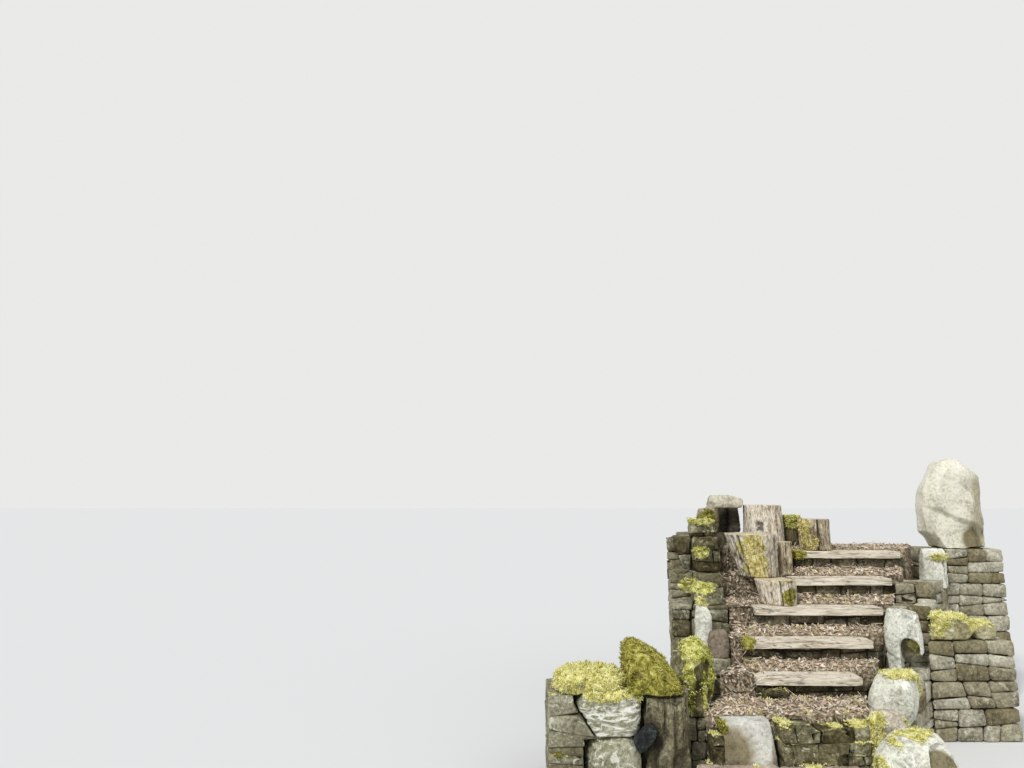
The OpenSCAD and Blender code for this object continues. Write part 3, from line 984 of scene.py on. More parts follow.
class Workshop:
    """Keeps the frame and makes the meshes that every sub-assembly needs."""

    def __init__(self, nodes: dict[str, bpy.types.Object]) -> None:
        """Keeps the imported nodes.

        Args:
            nodes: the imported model's objects by name.
        """
        self.nodes = nodes
        self.made: dict[str, Material] = {}
        self.strewer = Strewer()

    def material(self, finish: Finish) -> Material:
        """Builds a finish once and hands it out.

        Args:
            finish: one of the finishes above.

        Returns:
            Its material.
        """
        if finish.name not in self.made:
            self.made[finish.name] = finish.material()
        return self.made[finish.name]

    def solid(self, node: str) -> BMesh:
        """Copies a node's mesh with its corners merged.

        Args:
            node: the node's name.

        Returns:
            The merged copy.
        """
        bm = bmesh.new()
        bm.from_mesh(self.nodes[node].data)
        bmesh.ops.remove_doubles(bm, verts=bm.verts, dist=2e-5)
        for layer in list(bm.loops.layers.uv):
            bm.loops.layers.uv.remove(layer)
        for face in bm.faces:
            face.material_index = 0
        return bm

    def plates(self, bm: BMesh) -> None:
        """Joins coplanar triangles into whole faces.

        Args:
            bm: the mesh.
        """
        bmesh.ops.dissolve_limit(bm, angle_limit=math.radians(0.5), verts=bm.verts, edges=bm.edges)

    def settled(self, bm: BMesh, kind: str, **settings: object) -> BMesh:
        """Runs one modifier on a mesh and returns the result.

        Args:
            bm: the mesh, which is freed.
            kind: the modifier's type.
            settings: the modifier's settings.

        Returns:
            The new mesh.
        """
        mesh = stored(bm, "draft")
        draft = placed("draft", mesh)
        modifier = draft.modifiers.new("draft", kind)
        for key, value in settings.items():
            setattr(modifier, key, value)
        graph = bpy.context.evaluated_depsgraph_get()
        result = bpy.data.meshes.new_from_object(draft.evaluated_get(graph))
        bpy.data.objects.remove(draft)
        out = bmesh.new()
        out.from_mesh(result)
        for used in (mesh, result):
            bpy.data.meshes.remove(used)
        return out

    def piece(self, name: str, bm: BMesh, finishes: list[Finish], slot: str,
              stands_for: tuple[str, ...] = (), smooth: bool = True) -> bpy.types.Object:
        """Turns a mesh into a finished piece that rides with the steps.

        Args:
            name: the piece's name.
            bm: its mesh, which is freed.
            finishes: its finishes by material index.
            slot: a material slot's name, which is not used.
            stands_for: the nodes that it replaces.
            smooth: whether its faces are shaded smooth.

        Returns:
            The piece.
        """
        for face in bm.faces:
            face.smooth = smooth
        mesh = stored(bm, name)
        for finish in finishes:
            mesh.materials.append(self.material(finish))
        piece = placed(name, mesh)
        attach(piece, "root")
        if stands_for:
            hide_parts(*stands_for)
        log.info("%s: %d faces", name, len(mesh.polygons))
        return piece


@dataclass(frozen=True)
class Patch:
    """A patch of moss, placed and sized by shares of the stone's box."""

    place: Point
    reach: Point

    def share(self, place: Vector, low: Vector, size: Vector) -> float:
        """Gives how far a point lies inside the patch.

        Args:
            place: the point.
            low: the box's lowest corner.
            size: the box's size.

        Returns:
            1 in the middle, 0 at the edge and less beyond.
        """
        off = [((place[i] - low[i]) / size[i] - self.place[i]) / self.reach[i] for i in range(3)]
        return 1 - math.sqrt(sum(o * o for o in off))


@dataclass(frozen=True)
class MossCover:
    """Where moss grows on a piece, how thick it lies and how many tufts stand in it."""

    cover: float = -0.6
    lean: float = 0.0
    patches: tuple[Patch, ...] = ()
    depth: float = 0.010
    tufts: int = 0
    kind: MossKind = MossKind.YELLOW
    sunk: float = 0.003
    least: float = 0.15

    def share(self, place: Vector, facing: Vector, low: Vector, size: Vector, seed: float) -> float:
        """Gives how mossy a point is.

        Args:
            place: the point.
            facing: its normal.
            low: the piece's lowest corner.
            size: the piece's size.
            seed: the pattern's shift.

        Returns:
            The share from 0 to 1.
        """
        patchy = 0.55 * ripple(place, 0.11, seed) + 0.35 * ripple(place, 0.04, seed + 1)
        value = self.cover + self.lean * facing.z
        for patch in self.patches:
            value = max(value, 1.5 * patch.share(place, low, size))
        return clamp(value + patchy)

    def grow(self, shop: Workshop, bm: BMesh, seed: int, index: int) -> None:
        """Marks a mesh's mossy points, raises them in cushions and sets the tufts in them.

        Args:
            shop: the workshop.
            bm: the mesh.
            seed: the pattern's shift.
            index: the material index of the tufts.
        """
        mark = bm.verts.layers.float.new(Mark.MOSS.value)
        low, size = extent(bm)
        bm.normal_update()
        for vert in bm.verts:
            share = self.share(vert.co, vert.normal, low, size, seed)
            vert[mark] = share
            if share > self.least:
                folds = 1 - 2 * abs(ripple(vert.co, 0.045, seed + 2))
                cushion = folds + 0.4 * ripple(vert.co, 0.018, seed + 4)
                vert.co += vert.normal * (self.depth * share * (0.45 + 0.5 * cushion))
        if self.tufts:
            bm.normal_update()
            dice = random.Random(seed)
            mossy = [f for f in bm.faces if sum(v[mark] for v in f.verts) > 0.5 * len(f.verts)]
            self.set_tufts(shop, bm, mossy, index, dice)

    def set_tufts(self, shop: Workshop, bm: BMesh, mossy: list[BMFace], index: int,
                  dice: random.Random) -> None:
        """Sets tufts on the moss, which hang a little where it is steep.

        Args:
            shop: the workshop.
            bm: the mesh.
            mossy: the mossy faces.
            index: the material index of the tufts.
            dice: the random source.
        """
        places = []
        for place, facing in scattered(mossy, self.tufts, dice):
            hang = -0.5 if facing.z < 0.3 else 0.15
            lean = leaning(facing, 0.3, hang, dice)
            turn = stood(lean, dice.uniform(0, WHOLE_TURN))
            size = Matrix.Scale(dice.uniform(0.7, 1.35), 4)
            places.append(Matrix.Translation(place - facing * self.sunk) @ turn @ size)
        shop.strewer.strew(bm, Strewn.SPRIGS, index, places, dice)


@dataclass
class RubbleWall:
    """A wall node broken into rough stones over a middle of earth painted near black for the shade in the gaps
    between them.
    """

    node: str
    along: Point
    finish: StoneFinish = WALL
    slot: str = "wall_stone"
    length: float = 0.21
    course: float = 0.1
    leaves: int = 2
    joint: float = 0.003
    inset: float = 0.060
    seed: int = 1
    moss: MossCover = MossCover(-0.45, 0.62, (), 0.010, 160)
    rounds: int = 1
    levels: int = 1
    lift_tilts = (0.02, 0.02, 0.03)
    stretch_tilts = (0.12, 0.06, 0)
    stone_tilts = (0.26, 0, 0.15)
    stray = 0.17
    enough = (1.12, 1.62)
    least = 0.014
    taper = 0.06
    edge = 0.011
    swell = 0.007
    lump = 0.003

    def directions(self) -> tuple[Vector, Vector, Vector]:
        """Gives the directions along, across and up the wall."""
        along = Vector(self.along).normalized()
        return along, UP.cross(along).normalized(), UP

    def divide(self, block: BMesh, sizes: Point, tilts: Point, dice: random.Random) -> list[BMesh]:
        """Breaks a block by tilted cuts until its parts are near a size.

        Args:
            block: the block, which is used up.
            sizes: the usual size along, across and up.
            tilts: how far the cuts of each direction tilt.
            dice: the random source.

        Returns:
            The parts.
        """
        axes = self.directions()
        waiting, done = [block], []
        while waiting:
            part = waiting.pop()
            if len(part.verts) < 4:
                part.free()
                continue
            spans = [(min(v.co.dot(a) for v in part.verts),
                      max(v.co.dot(a) for v in part.verts)) for a in axes]
            ratios = [(high - low) / size for (low, high), size in zip(spans, sizes)]
            pick = ratios.index(max(ratios))
            if ratios[pick] < dice.uniform(*self.enough):
                done.append(part)
                continue
            low, high = spans[pick]
            count = max(2, round(ratios[pick]))
            share = (dice.randint(1, count - 1) + dice.uniform(-self.stray, self.stray)) / count
            middle = sum((v.co for v in part.verts), Vector()) / len(part.verts)
            point = middle + axes[pick] * (low + (high - low) * share - middle.dot(axes[pick]))
            swing = Vector([dice.uniform(-1, 1) * tilts[pick] for _ in range(3)])
            facing = (axes[pick] + swing).normalized()
            other = part.copy()
            cut_off(part, point, facing)
            cut_off(other, point, -facing)
            waiting += [part, other]
        return done

    def stones(self, shop: Workshop) -> BMesh:
        """Breaks the node into stones, first by lifts, then by stretches, then freely.

        Args:
            shop: the workshop.

        Returns:
            All stones in one mesh.
        """
        dice = random.Random(self.seed)
        whole = shop.solid(self.node)
        shop.plates(whole)
        across = self.directions()[1]
        reach = [v.co.dot(across) for v in whole.verts]
        deep = (max(reach) - min(reach)) / self.leaves
        bank = bmesh.new()
        bank.verts.layers.float.new(Mark.TONE.value)
        lift_size = (HUGE, HUGE, 2.3 * self.course)
        stretch_size = (2.4 * self.length, min(deep, 0.24) * 1.05, HUGE)
        stone_size = (self.length, HUGE, self.course)
        for lift in self.divide(whole, lift_size, self.lift_tilts, dice):
            for stretch in self.divide(lift, stretch_size, self.stretch_tilts, dice):
                for stone in self.divide(stretch, stone_size, self.stone_tilts, dice):
                    self.rough(stone, bank, dice)
        return bank

    def rough(self, stone: BMesh, bank: BMesh, dice: random.Random) -> None:
        """Knocks the corners off one stone and adds it to the wall.

        Args:
            stone: the stone, which is freed.
            bank: the wall's mesh.
            dice: the random source.
        """
        bmesh.ops.remove_doubles(stone, verts=stone.verts, dist=1e-4)
        if len(stone.verts) > 3:
            bmesh.ops.dissolve_limit(stone, angle_limit=math.radians(4), verts=stone.verts, edges=stone.edges)
        size = extent(stone)[1] if len(stone.faces) > 3 else (0.0,)
        if min(size) < self.least:
            stone.free()
            return
        middle = sum((v.co for v in stone.verts), Vector()) / len(stone.verts)
        shrink = [1 - self.joint / s for s in size]
        bmesh.ops.scale(stone, vec=shrink, space=Matrix.Translation(-middle), verts=stone.verts)
        for vert in stone.verts:
            vert.co += (middle - vert.co) * dice.uniform(0, self.taper)
        ease(stone, stone.edges, min(self.edge, 0.11 * min(size)), self.rounds)
        mark = stone.verts.layers.float.new(Mark.TONE.value)
        tone = dice.random() ** 1.6
        for vert in stone.verts:
            vert[mark] = tone
        pour(stone, bank)

    def build(self, shop: Workshop) -> bpy.types.Object:
        """Builds the wall's piece.

        Args:
            shop: the workshop.

        Returns:
            The piece.
        """
        bank = shop.settled(self.stones(shop), "SUBSURF", subdivision_type="SIMPLE", levels=self.levels,
                            render_levels=self.levels)
        bank.normal_update()
        for vert in bank.verts:
            push = self.swell * ripple(vert.co, 0.085, self.seed)
            push += self.lump * ripple(vert.co, 0.028, self.seed + 5)
            vert.co += vert.normal * (push - 0.001)
        self.moss.grow(shop, bank, self.seed, 2)
        # the core behind the stones shows through the gaps, painted near black as their shade
        core = shop.solid(self.node)
        core.normal_update()
        for vert in core.verts:
            vert.co -= vert.normal * self.inset
        for face in core.faces:
            face.material_index = 1
        pour(core, bank)
        finishes = [self.finish, JOINT_EARTH_AND_SHADE, SprigFinish(self.moss.kind)]
        return shop.piece("rubble_" + self.node, bank, finishes, self.slot, (self.node,))


@dataclass(frozen=True)
class Hollow:
    """A shallow hollow, placed by shares of the stone's box. Its dark value paints shade into the hollow and
    its tone paints shade on the stone around it; with no depth it is only a patch of painted shade.
    """

    place: Point
    reach: float
    depth: float = 0.0
    dark: float = 0.0
    tone: float = 0.0
    crisp: float = 1.0


@dataclass(frozen=True)
class Seam:
    """A crack or bedding line where a plane meets the stone, placed by shares of its box; its dark value
    paints shade into it.
    """

    place: Point
    facing: Point
    reach: float
    depth: float
    dark: float = 0.8


@dataclass(frozen=True)
class Facet:
    """A broken flat face, placed by shares of the stone's box. What lies beyond its plane is taken off."""

    place: Point
    facing: Point


@dataclass(frozen=True)
class Ledge:
    """A step in the stone's front: below its plane the face is set back."""

    place: Point
    facing: Point
    depth: float


@dataclass
class FieldStone:
    """One stone or a few loose ones, worn from the node's solid."""

    node: str
    finish: StoneFinish
    slot: str = "pale_stone"
    voxel: float = 0.008
    wear: int = 2
    swell: float = 0.010
    lump: float = 0.003
    lump_size: float = 0.035
    chips: int = 0
    chip_depth: float = 0.08
    facets: tuple[Facet, ...] = ()
    ledges: tuple[Ledge, ...] = ()
    hollows: tuple[Hollow, ...] = ()
    seams: tuple[Seam, ...] = ()
    moss: MossCover | None = None
    seed: int = 1
    foot = 0.012

    def break_faces(self, bm: BMesh) -> None:
        """Takes off what lies beyond the facets and beyond a few planes of chance.

        Args:
            bm: the stone's mesh.
        """
        low, size = extent(bm)
        dice = random.Random(self.seed)
        planes = []
        for facet in self.facets:
            facing = Vector(facet.facing).normalized()
            planes.append((facing, facing.dot(within(low, size, facet.place))))
        for _ in range(self.chips):
            facing = Vector((dice.gauss(0, 1), dice.gauss(0, 1), abs(dice.gauss(0, 1)) - 0.2)).normalized()
            reach = [v.co.dot(facing) for v in bm.verts]
            planes.append((facing,
                           max(reach) - (max(reach) - min(reach)) * self.chip_depth * dice.uniform(0.6, 1.3)))
        for facing, level in planes:
            for vert in bm.verts:
                over = vert.co.dot(facing) - level
                if over > 0:
                    vert.co -= facing * over * 0.94

    def relief(self, place: Vector, low: Vector, size: Vector) -> tuple[float, float, float]:
        """Gives how far a point of the face moves and how much painted shade its depth and tone marks give it.

        Args:
            place: the point.
            low: the stone's lowest corner.
            size: the stone's size.

        Returns:
            The push outwards in metres, the depth mark and the tone mark.
        """
        swelled = self.swell * (ripple(place, 0.16, self.seed) - 0.35)
        push = swelled + self.lump * ripple(place, self.lump_size, self.seed + 3)
        push += 0.0018 * ripple(place, 0.014, self.seed + 9)
        dark = tone = 0.0
        for hollow in self.hollows:
            near = 1 - (place - within(low, size, hollow.place)).length / hollow.reach
            if near > 0:
                near = min(1.0, hollow.crisp * near)
                soft = near * near * (3 - 2 * near)
                push -= hollow.depth * soft
                dark = max(dark, hollow.dark * min(1, 1.6 * soft))
                tone = max(tone, hollow.tone * min(1, 1.6 * soft))
        for seam in self.seams:
            across = (place - within(low, size, seam.place)).dot(Vector(seam.facing).normalized())
            off = abs(across + 0.014 * ripple(place, 0.09, self.seed + 1))
            if off < seam.reach:
                strength = clamp(0.6 + 0.6 * ripple(place, 0.12, self.seed + 7))
                push -= seam.depth * (1 - off / seam.reach) ** 1.5 * strength
                dark = max(dark, seam.dark * strength * (1 - off / seam.reach) ** 1.2)
        return push, dark, tone

    def set_back(self, bm: BMesh) -> None:
        """Sets the front back under each ledge.

        Args:
            bm: the stone's mesh.
        """
        low, size = extent(bm)
        for ledge in self.ledges:
            facing = Vector(ledge.facing).normalized()
            edge = within(low, size, ledge.place)
            for vert in bm.verts:
                under = -(vert.co - edge).dot(facing) + 0.016 * ripple(vert.co, 0.1, self.seed + 2)
                if under > 0 and vert.normal.y < 0:
                    fade = 1 - 0.6 * clamp(under / 0.3)
                    vert.co.y += ledge.depth * min(1, under / 0.025) * -vert.normal.y * fade

    def build(self, shop: Workshop) -> bpy.types.Object:
        """Builds the stone's piece.

        Args:
            shop: the workshop.

        Returns:
            The piece.
        """
        bm = shop.settled(shop.solid(self.node), "REMESH", mode="VOXEL", voxel_size=self.voxel)
        self.break_faces(bm)
        for _ in range(self.wear):
            bmesh.ops.smooth_vert(bm, verts=bm.verts, factor=0.5, use_axis_x=True, use_axis_y=True,
                                  use_axis_z=True)
        bm.normal_update()
        self.set_back(bm)
        deep = bm.verts.layers.float.new(Mark.DEEP.value)
        # the tone layer paints shade on the hollows and on sides turned from the light
        darkening = bm.verts.layers.float.new(Mark.TONE.value)
        low, size = extent(bm)
        for vert in bm.verts:
            push, vert[deep], vert[darkening] = self.relief(vert.co, low, size)
            if vert.co.z - low.z < self.foot:
                push = min(push, 0.0)
            vert.co = vert.co + vert.normal * push
        finishes: list[Finish] = [self.finish]
        if self.moss:
            self.moss.grow(shop, bm, self.seed, 1)
            finishes.append(SprigFinish(self.moss.kind))
        for vert in bm.verts:
            vert.co.z = max(vert.co.z, low.z)
        return shop.piece("stone_" + self.node, bm, finishes, self.slot, (self.node,))


@dataclass
class Board:
    """A weathered board with eased edges, relief grain, worn ends and a few leaves on it."""

    node: str
    seed: int
    worn_left: float = 0.0
    nails: tuple[float, ...] = (0.12, 0.9)
    moss: MossCover | None = None
    leaves: int = 10
    edge = 0.005
    strips = (0.020, 0.012, 0.008)
    nail_rows = (0.028, 0.1)
    grain_rise = 0.0026
    split_depth = 0.005
    end_reach = 0.03
    end_wear = 0.005
    worn_drop = 0.030

    def build(self, shop: Workshop) -> bpy.types.Object:
        """Builds the board's piece.

        Args:
            shop: the workshop.

        Returns:
            The piece.
        """
        low, high = (Vector(corner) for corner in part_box(self.node))
        size = high - low
        bm = bmesh.new()
        bmesh.ops.create_cube(bm, size=1,
                              matrix=Matrix.Translation((low + high) / 2) @ Matrix.Diagonal((*size, 1)))
        ease(bm, bm.edges, self.edge)
        for axis, step in enumerate(self.strips):
            slice_up(bm, axis, step)
        bm.normal_update()
        deep = bm.verts.layers.float.new(Mark.DEEP.value)
        for vert in bm.verts:
            vert[deep] = self.weather(vert, low, high)
        finishes = [BoardFinish(), RUST, LEAVES, SprigFinish(MossKind.OLIVE)]
        if self.moss:
            self.moss.grow(shop, bm, self.seed, 3)
        self.fix(bm, low, high)
        dice = random.Random(self.seed)
        bm.normal_update()
        top = [f for f in bm.faces if f.normal.z > 0.9 and f.material_index == 0]
        fallen = []
        for place, _ in scattered(top, self.leaves, dice):
            spin = Matrix.Rotation(dice.uniform(0, WHOLE_TURN), 4, "Z")
            fallen.append(Matrix.Translation(place + UP * 0.002) @ spin)
        shop.strewer.strew(bm, Strewn.LEAF, 2, fallen, dice)
        return shop.piece("weathered_" + self.node, bm, finishes, "weathered_board", (self.node,))

    def weather(self, vert: BMVert, low: Vector, high: Vector) -> float:
        """Raises the grain at a point, opens the splits and wears the ends.

        Args:
            vert: the point, which is moved.
            low: the board's lowest corner.
            high: its highest corner.

        Returns:
            How much painted shade the point takes in a split.
        """
        place, size = vert.co.copy(), high - low
        grain = Vector((place.x * 0.12, place.y, place.z))
        ridges, waves = ripple(grain, 0.012, self.seed), ripple(place, 0.05, self.seed + 2)
        push = self.grain_rise * ridges + 0.0014 * waves - 0.0018
        split = abs(ripple(Vector((place.x * 0.2, place.y, place.z)), 0.03, self.seed + 4))
        gape = clamp(1 - split / 0.06) * clamp(0.6 + 2 * ripple(Vector((place.x, 0, 0)), 0.25, self.seed + 5))
        push -= self.split_depth * gape
        end = min(place.x - low.x, high.x - place.x)
        if end < self.end_reach:
            push -= self.end_wear * (1 - end / self.end_reach) * (0.6 + ripple(place, 0.02, self.seed + 6))
        vert.co += vert.normal * push
        vert.co.z += 0.003 * ripple(Vector((place.x, 0, 0)), 0.3, self.seed + 8) - 0.002
        if self.worn_left and place.x - low.x < self.worn_left:
            share = 1 - (place.x - low.x) / self.worn_left
            vert.co.z -= self.worn_drop * share * share * (place.z - low.z) / size.z
            vert.co.y += 0.02 * share * share * (high.y - place.y) / size.y
        return gape * 0.8

    def fix(self, bm: BMesh, low: Vector, high: Vector) -> None:
        """Drives rusty nails into the board's top.

        Args:
            bm: the board's mesh.
            low: the board's lowest corner.
            high: its highest corner.
        """
        for share in self.nails:
            for y in self.nail_rows:
                top = Vector((low.x + (high.x - low.x) * share, low.y + y, high.z - 0.002))
                made = bmesh.ops.create_cone(bm, cap_ends=True, segments=10, radius1=0.0035, radius2=0.003,
                                             depth=0.004,
                                             matrix=Matrix.Translation(top))
                for face in {f for v in made["verts"] for f in v.link_faces}:
                    face.material_index = 1


@dataclass(frozen=True)
class KnotOrShade:
    """A knot, darkened with painted shade, or with no depth a patch of painted shade where the bark turns from
    the light, placed by its direction in degrees and its share of the height.
    """

    angle: float
    level: float
    reach: float
    depth: float = 0.0
    dark: float = 0.5


@dataclass
class Log:
    """A cut log on end: ridged bark, a pale sawn top, splits and moss."""

    node: str
    bark: BarkFinish
    seed: int
    ridge: float = 0.007
    splits: tuple[float, ...] = ()
    split_width: float = 0.06
    knots_and_shade: tuple[KnotOrShade, ...] = ()
    moss: MossCover | None = None
    sides = 128
    strip = 0.012
    bark_thick = 0.008
    split_depth = 0.028
    crack_depth = 0.002
    bulge = 0.007
    top_dip = 0.004

    def rims(self, shop: Workshop) -> tuple[Vector, float, Vector, float]:
        """Measures the log's foot and top.

        Args:
            shop: the workshop.

        Returns:
            The foot's middle and radius, then the top's.
        """
        solid = shop.solid(self.node)
        low, size = extent(solid)
        found = []
        for level in (low.z, low.z + size.z):
            rim = [v.co.copy() for v in solid.verts if abs(v.co.z - level) < 5e-4]
            middle = sum(rim, Vector()) / len(rim)
            found += [middle, max((p - middle).length for p in rim)]
        solid.free()
        return tuple(found)

    def build(self, shop: Workshop) -> bpy.types.Object:
        """Builds the log's piece.

        Args:
            shop: the workshop.

        Returns:
            The piece.
        """
        foot_at, foot, head_at, head = self.rims(shop)
        height = head_at.z - foot_at.z
        bm = bmesh.new()
        bmesh.ops.create_cone(bm, cap_ends=True, segments=self.sides, radius1=foot, radius2=head,
                              depth=height,
                              matrix=Matrix.Translation((0, 0, height / 2)))
        slice_up(bm, 2, self.strip)
        cap = [f for f in bm.faces if f.normal.z > 0.9]
        bmesh.ops.inset_region(bm, faces=cap, thickness=self.bark_thick, depth=0.0)
        for face in cap:
            face.material_index = 1
        for _ in range(3):
            bmesh.ops.inset_region(bm, faces=cap, thickness=head * 0.22, depth=0.0)
        deep = bm.verts.layers.float.new(Mark.DEEP.value)
        for vert in bm.verts:
            share = vert.co.z / height
            middle = foot_at.lerp(head_at, share)
            if Vector(vert.co.xy).length > 1e-4:
                vert[deep] = self.bark_out(vert, foot + (head - foot) * share, height)
            vert.co.x += middle.x
            vert.co.y += middle.y
            vert.co.z += foot_at.z
        finishes: list[Finish] = [self.bark, SawnFinish("sawn_end_" + self.node, (head_at.x, head_at.y, 0))]
        if self.moss:
            self.moss.grow(shop, bm, self.seed, 2)
            finishes.append(SprigFinish(self.moss.kind))
        return shop.piece("cut_" + self.node, bm, finishes, "log_wood", (self.node,))

    def aside(self, out: Vector, degrees: float) -> float:
        """Gives the angle between two directions on the plan.

        Args:
            out: the one direction.
            degrees: the other, counted from the first axis.

        Returns:
            The angle in radians.
        """
        return abs(math.remainder(math.atan2(out.y, out.x) - math.radians(degrees), 2 * math.pi))

    def bark_out(self, vert: BMVert, radius: float, height: float) -> float:
        """Shapes the bark at a point of the upright log about the origin.

        Args:
            vert: the point, which is moved.
            radius: the log's radius at its level.
            height: the log's height.

        Returns:
            How much painted shade the point takes: between the ridges, in the splits, at the knots and on the
                shaded patches.
        """
        arm = Vector((vert.co.x, vert.co.y, 0))
        out = arm.normalized()
        ring = out * radius
        valley = abs(ripple(Vector((ring.x, ring.y, vert.co.z * 0.24)), 0.028, self.seed))
        crack = abs(ripple(Vector((ring.x, ring.y, vert.co.z * 0.3)), 0.013, self.seed + 3))
        swell = ripple(Vector((ring.x, ring.y, vert.co.z * 0.5)), 0.14, self.seed + 6)
        lie = clamp(1 - valley / 0.16)
        push = -self.ridge * (0.35 + 0.9 * lie) - self.crack_depth * clamp(1 - crack / 0.2)
        push += self.bulge * (swell - 0.4)
        # painted shade between the ridges
        dark = 0.7 * lie * clamp(0.7 + ripple(ring, 0.08, self.seed + 9))
        # knots, and patches of painted shade
        for knot_or_shade in self.knots_and_shade:
            rise = vert.co.z - knot_or_shade.level * height
            off = math.hypot(radius * self.aside(out, knot_or_shade.angle), rise) / knot_or_shade.reach
            near = clamp(1.3 * (1 - off - 0.9 * ripple(vert.co, 0.024, self.seed)))
            push -= knot_or_shade.depth * near
            dark = max(dark, knot_or_shade.dark * near)
        for split in self.splits:
            off = self.aside(out, split)
            wave = ripple(Vector((0, 0, vert.co.z)), 0.06, self.seed + split)
            width = self.split_width * (0.8 + 0.9 * wave)
            if off < width:
                push -= self.split_depth * (1 - off / width)
                dark = max(dark, clamp(1.5 * (1 - off / width)))
        share = min(1, arm.length / (radius * 0.94))
        vert.co += out * push * share ** 5
        if vert.co.z > height - 1e-4:
            vert.co.z -= self.top_dip + self.top_dip * ripple(vert.co, 0.05, self.seed + 8)
        return dark * (share ** 5)


@dataclass
class LitterBed:
    """A body of worn earth with dead leaves, twigs and chips on its tops and stones in its sides."""

    node: str
    seed: int
    earth: LitterFinish = EARTH
    leaves: float = 2400
    twigs: float = 170
    chips: float = 260
    tufts: float = 0
    bank_chips: float = 0
    step: float = 0.019
    worn: float = 0.016
    rise: float = 0.010
    margin = 0.018
    flat = 0.4
    rim_height = 0.05

    def build(self, shop: Workshop) -> bpy.types.Object:
        """Builds the bed's piece in the node's place.

        Args:
            shop: the workshop.

        Returns:
            The piece.
        """
        bm = shop.solid(self.node)
        shop.plates(bm)
        floor, size = extent(bm)
        level = floor.z + self.rim_height
        rims = [e for e in bm.edges if e.is_convex and min(v.co.z for v in e.verts) > level]
        ease(bm, rims, self.worn)
        for axis in range(3):
            slice_up(bm, axis, self.step)
        bm.normal_update()
        for vert in bm.verts:
            lumps = 1.1 * ripple(vert.co, 0.06, self.seed) + 0.5 * ripple(vert.co, 0.022, self.seed + 2)
            out = self.rise * (0.5 + lumps) if vert.normal.z > self.flat else 1.3 * self.rise * (lumps - 0.3)
            vert.co += vert.normal * out
            vert.co.z = max(vert.co.z, floor.z)
        bm.normal_update()
        self.scatter(shop, bm, size)
        for vert in bm.verts:
            vert.co.z = max(vert.co.z, floor.z)
        finishes = [self.earth, LEAVES, TWIGS, CHIPS, SprigFinish(MossKind.YELLOW)]
        return shop.piece("litter_" + self.node, bm, finishes, "leaf_earth", (self.node,), False)

    def scatter(self, shop: Workshop, bm: BMesh, size: Vector) -> None:
        """Strews leaves, twigs and chips over the bed.

        Args:
            shop: the workshop.
            bm: the bed's mesh.
            size: the bed's size.
        """
        dice = random.Random(self.seed)
        flats = [f for f in bm.faces if f.normal.z > self.flat]
        banks = [f for f in bm.faces if abs(f.normal.z) < self.flat and f.normal.x - f.normal.y > 0.6]
        low, _ = extent(bm)
        # shape, material index, number per square metre, how far it tumbles, its lift, and its faces
        layers = (
            (Strewn.CHIP, 3, self.chips, 0.5, 0.004, flats),
            (Strewn.TWIG, 2, self.twigs, 0.1, 0.006, flats),
            (Strewn.LEAF, 1, self.leaves, 0.75, 0.004, flats),
            (Strewn.SPRIGS, 4, self.tufts, 0.1, 0.0, flats),
            (Strewn.CHIP, 3, self.bank_chips, 0.9, 0.0, banks),
            (Strewn.LEAF, 1, 2 * self.bank_chips, 0.9, 0.0, banks),
            (Strewn.TWIG, 2, 0.7 * self.bank_chips, 0.7, 0.003, banks),
        )
        for kind, index, density, tumble, lift, faces in layers:
            area = sum(f.calc_area() for f in faces)
            places = []
            for place, facing in scattered(faces, round(density * area), dice):
                tilt = leaning(facing, tumble, 0, dice)
                turn = stood(tilt, dice.uniform(0, WHOLE_TURN))
                inside = self.margin < place.x - low.x < size.x - self.margin
                if inside and place.z > low.z + self.margin:
                    places.append(Matrix.Translation(place + facing * (lift + dice.uniform(0, 0.003))) @ turn)
            shop.strewer.strew(bm, kind, index, places, dice)


@dataclass
class SlateWedge:
    """A dark slate, an oval leaf standing askew in the joint beside the corner."""

    outline: tuple[tuple[float, float], ...] = (
        (-1.441, 0.208), (-1.405, 0.222), (-1.364, 0.262), (-1.334, 0.305), (-1.334, 0.336),
        (-1.356, 0.357), (-1.394, 0.352), (-1.434, 0.322), (-1.466, 0.280), (-1.464, 0.242))
    front: float = -0.912
    thick: float = 0.075
    edge: float = 0.009
    strip: float = 0.009

    def build(self, shop: Workshop) -> bpy.types.Object:
        """Builds the slate's piece.

        Args:
            shop: the workshop.

        Returns:
            The piece.
        """
        bm = bmesh.new()
        rim = bmesh.ops.create_circle(bm, cap_ends=True, segments=len(self.outline), radius=1)["verts"]
        for vert, (x, z) in zip(rim, self.outline):
            vert.co = Vector((x, self.front, z))
        grown = bmesh.ops.extrude_face_region(bm, geom=bm.faces[:])["geom"]
        bmesh.ops.translate(bm, vec=(0, self.thick, 0), verts=[v for v in grown if isinstance(v, BMVert)])
        bmesh.ops.recalc_face_normals(bm, faces=bm.faces[:])
        ease(bm, bm.edges, self.edge)
        for axis in (0, 2):
            slice_up(bm, axis, self.strip)
        bm.normal_update()
        for vert in bm.verts:
            layer = 0.003 * round(4 * ripple(Vector((vert.co.x * 0.4, 0, vert.co.z)), 0.07, 3)) / 2
            vert.co += vert.normal * (0.004 * ripple(vert.co, 0.03, 2) + layer - 0.004)
        return shop.piece("slate_in_joint", bm, [SLATE], "wall_stone")


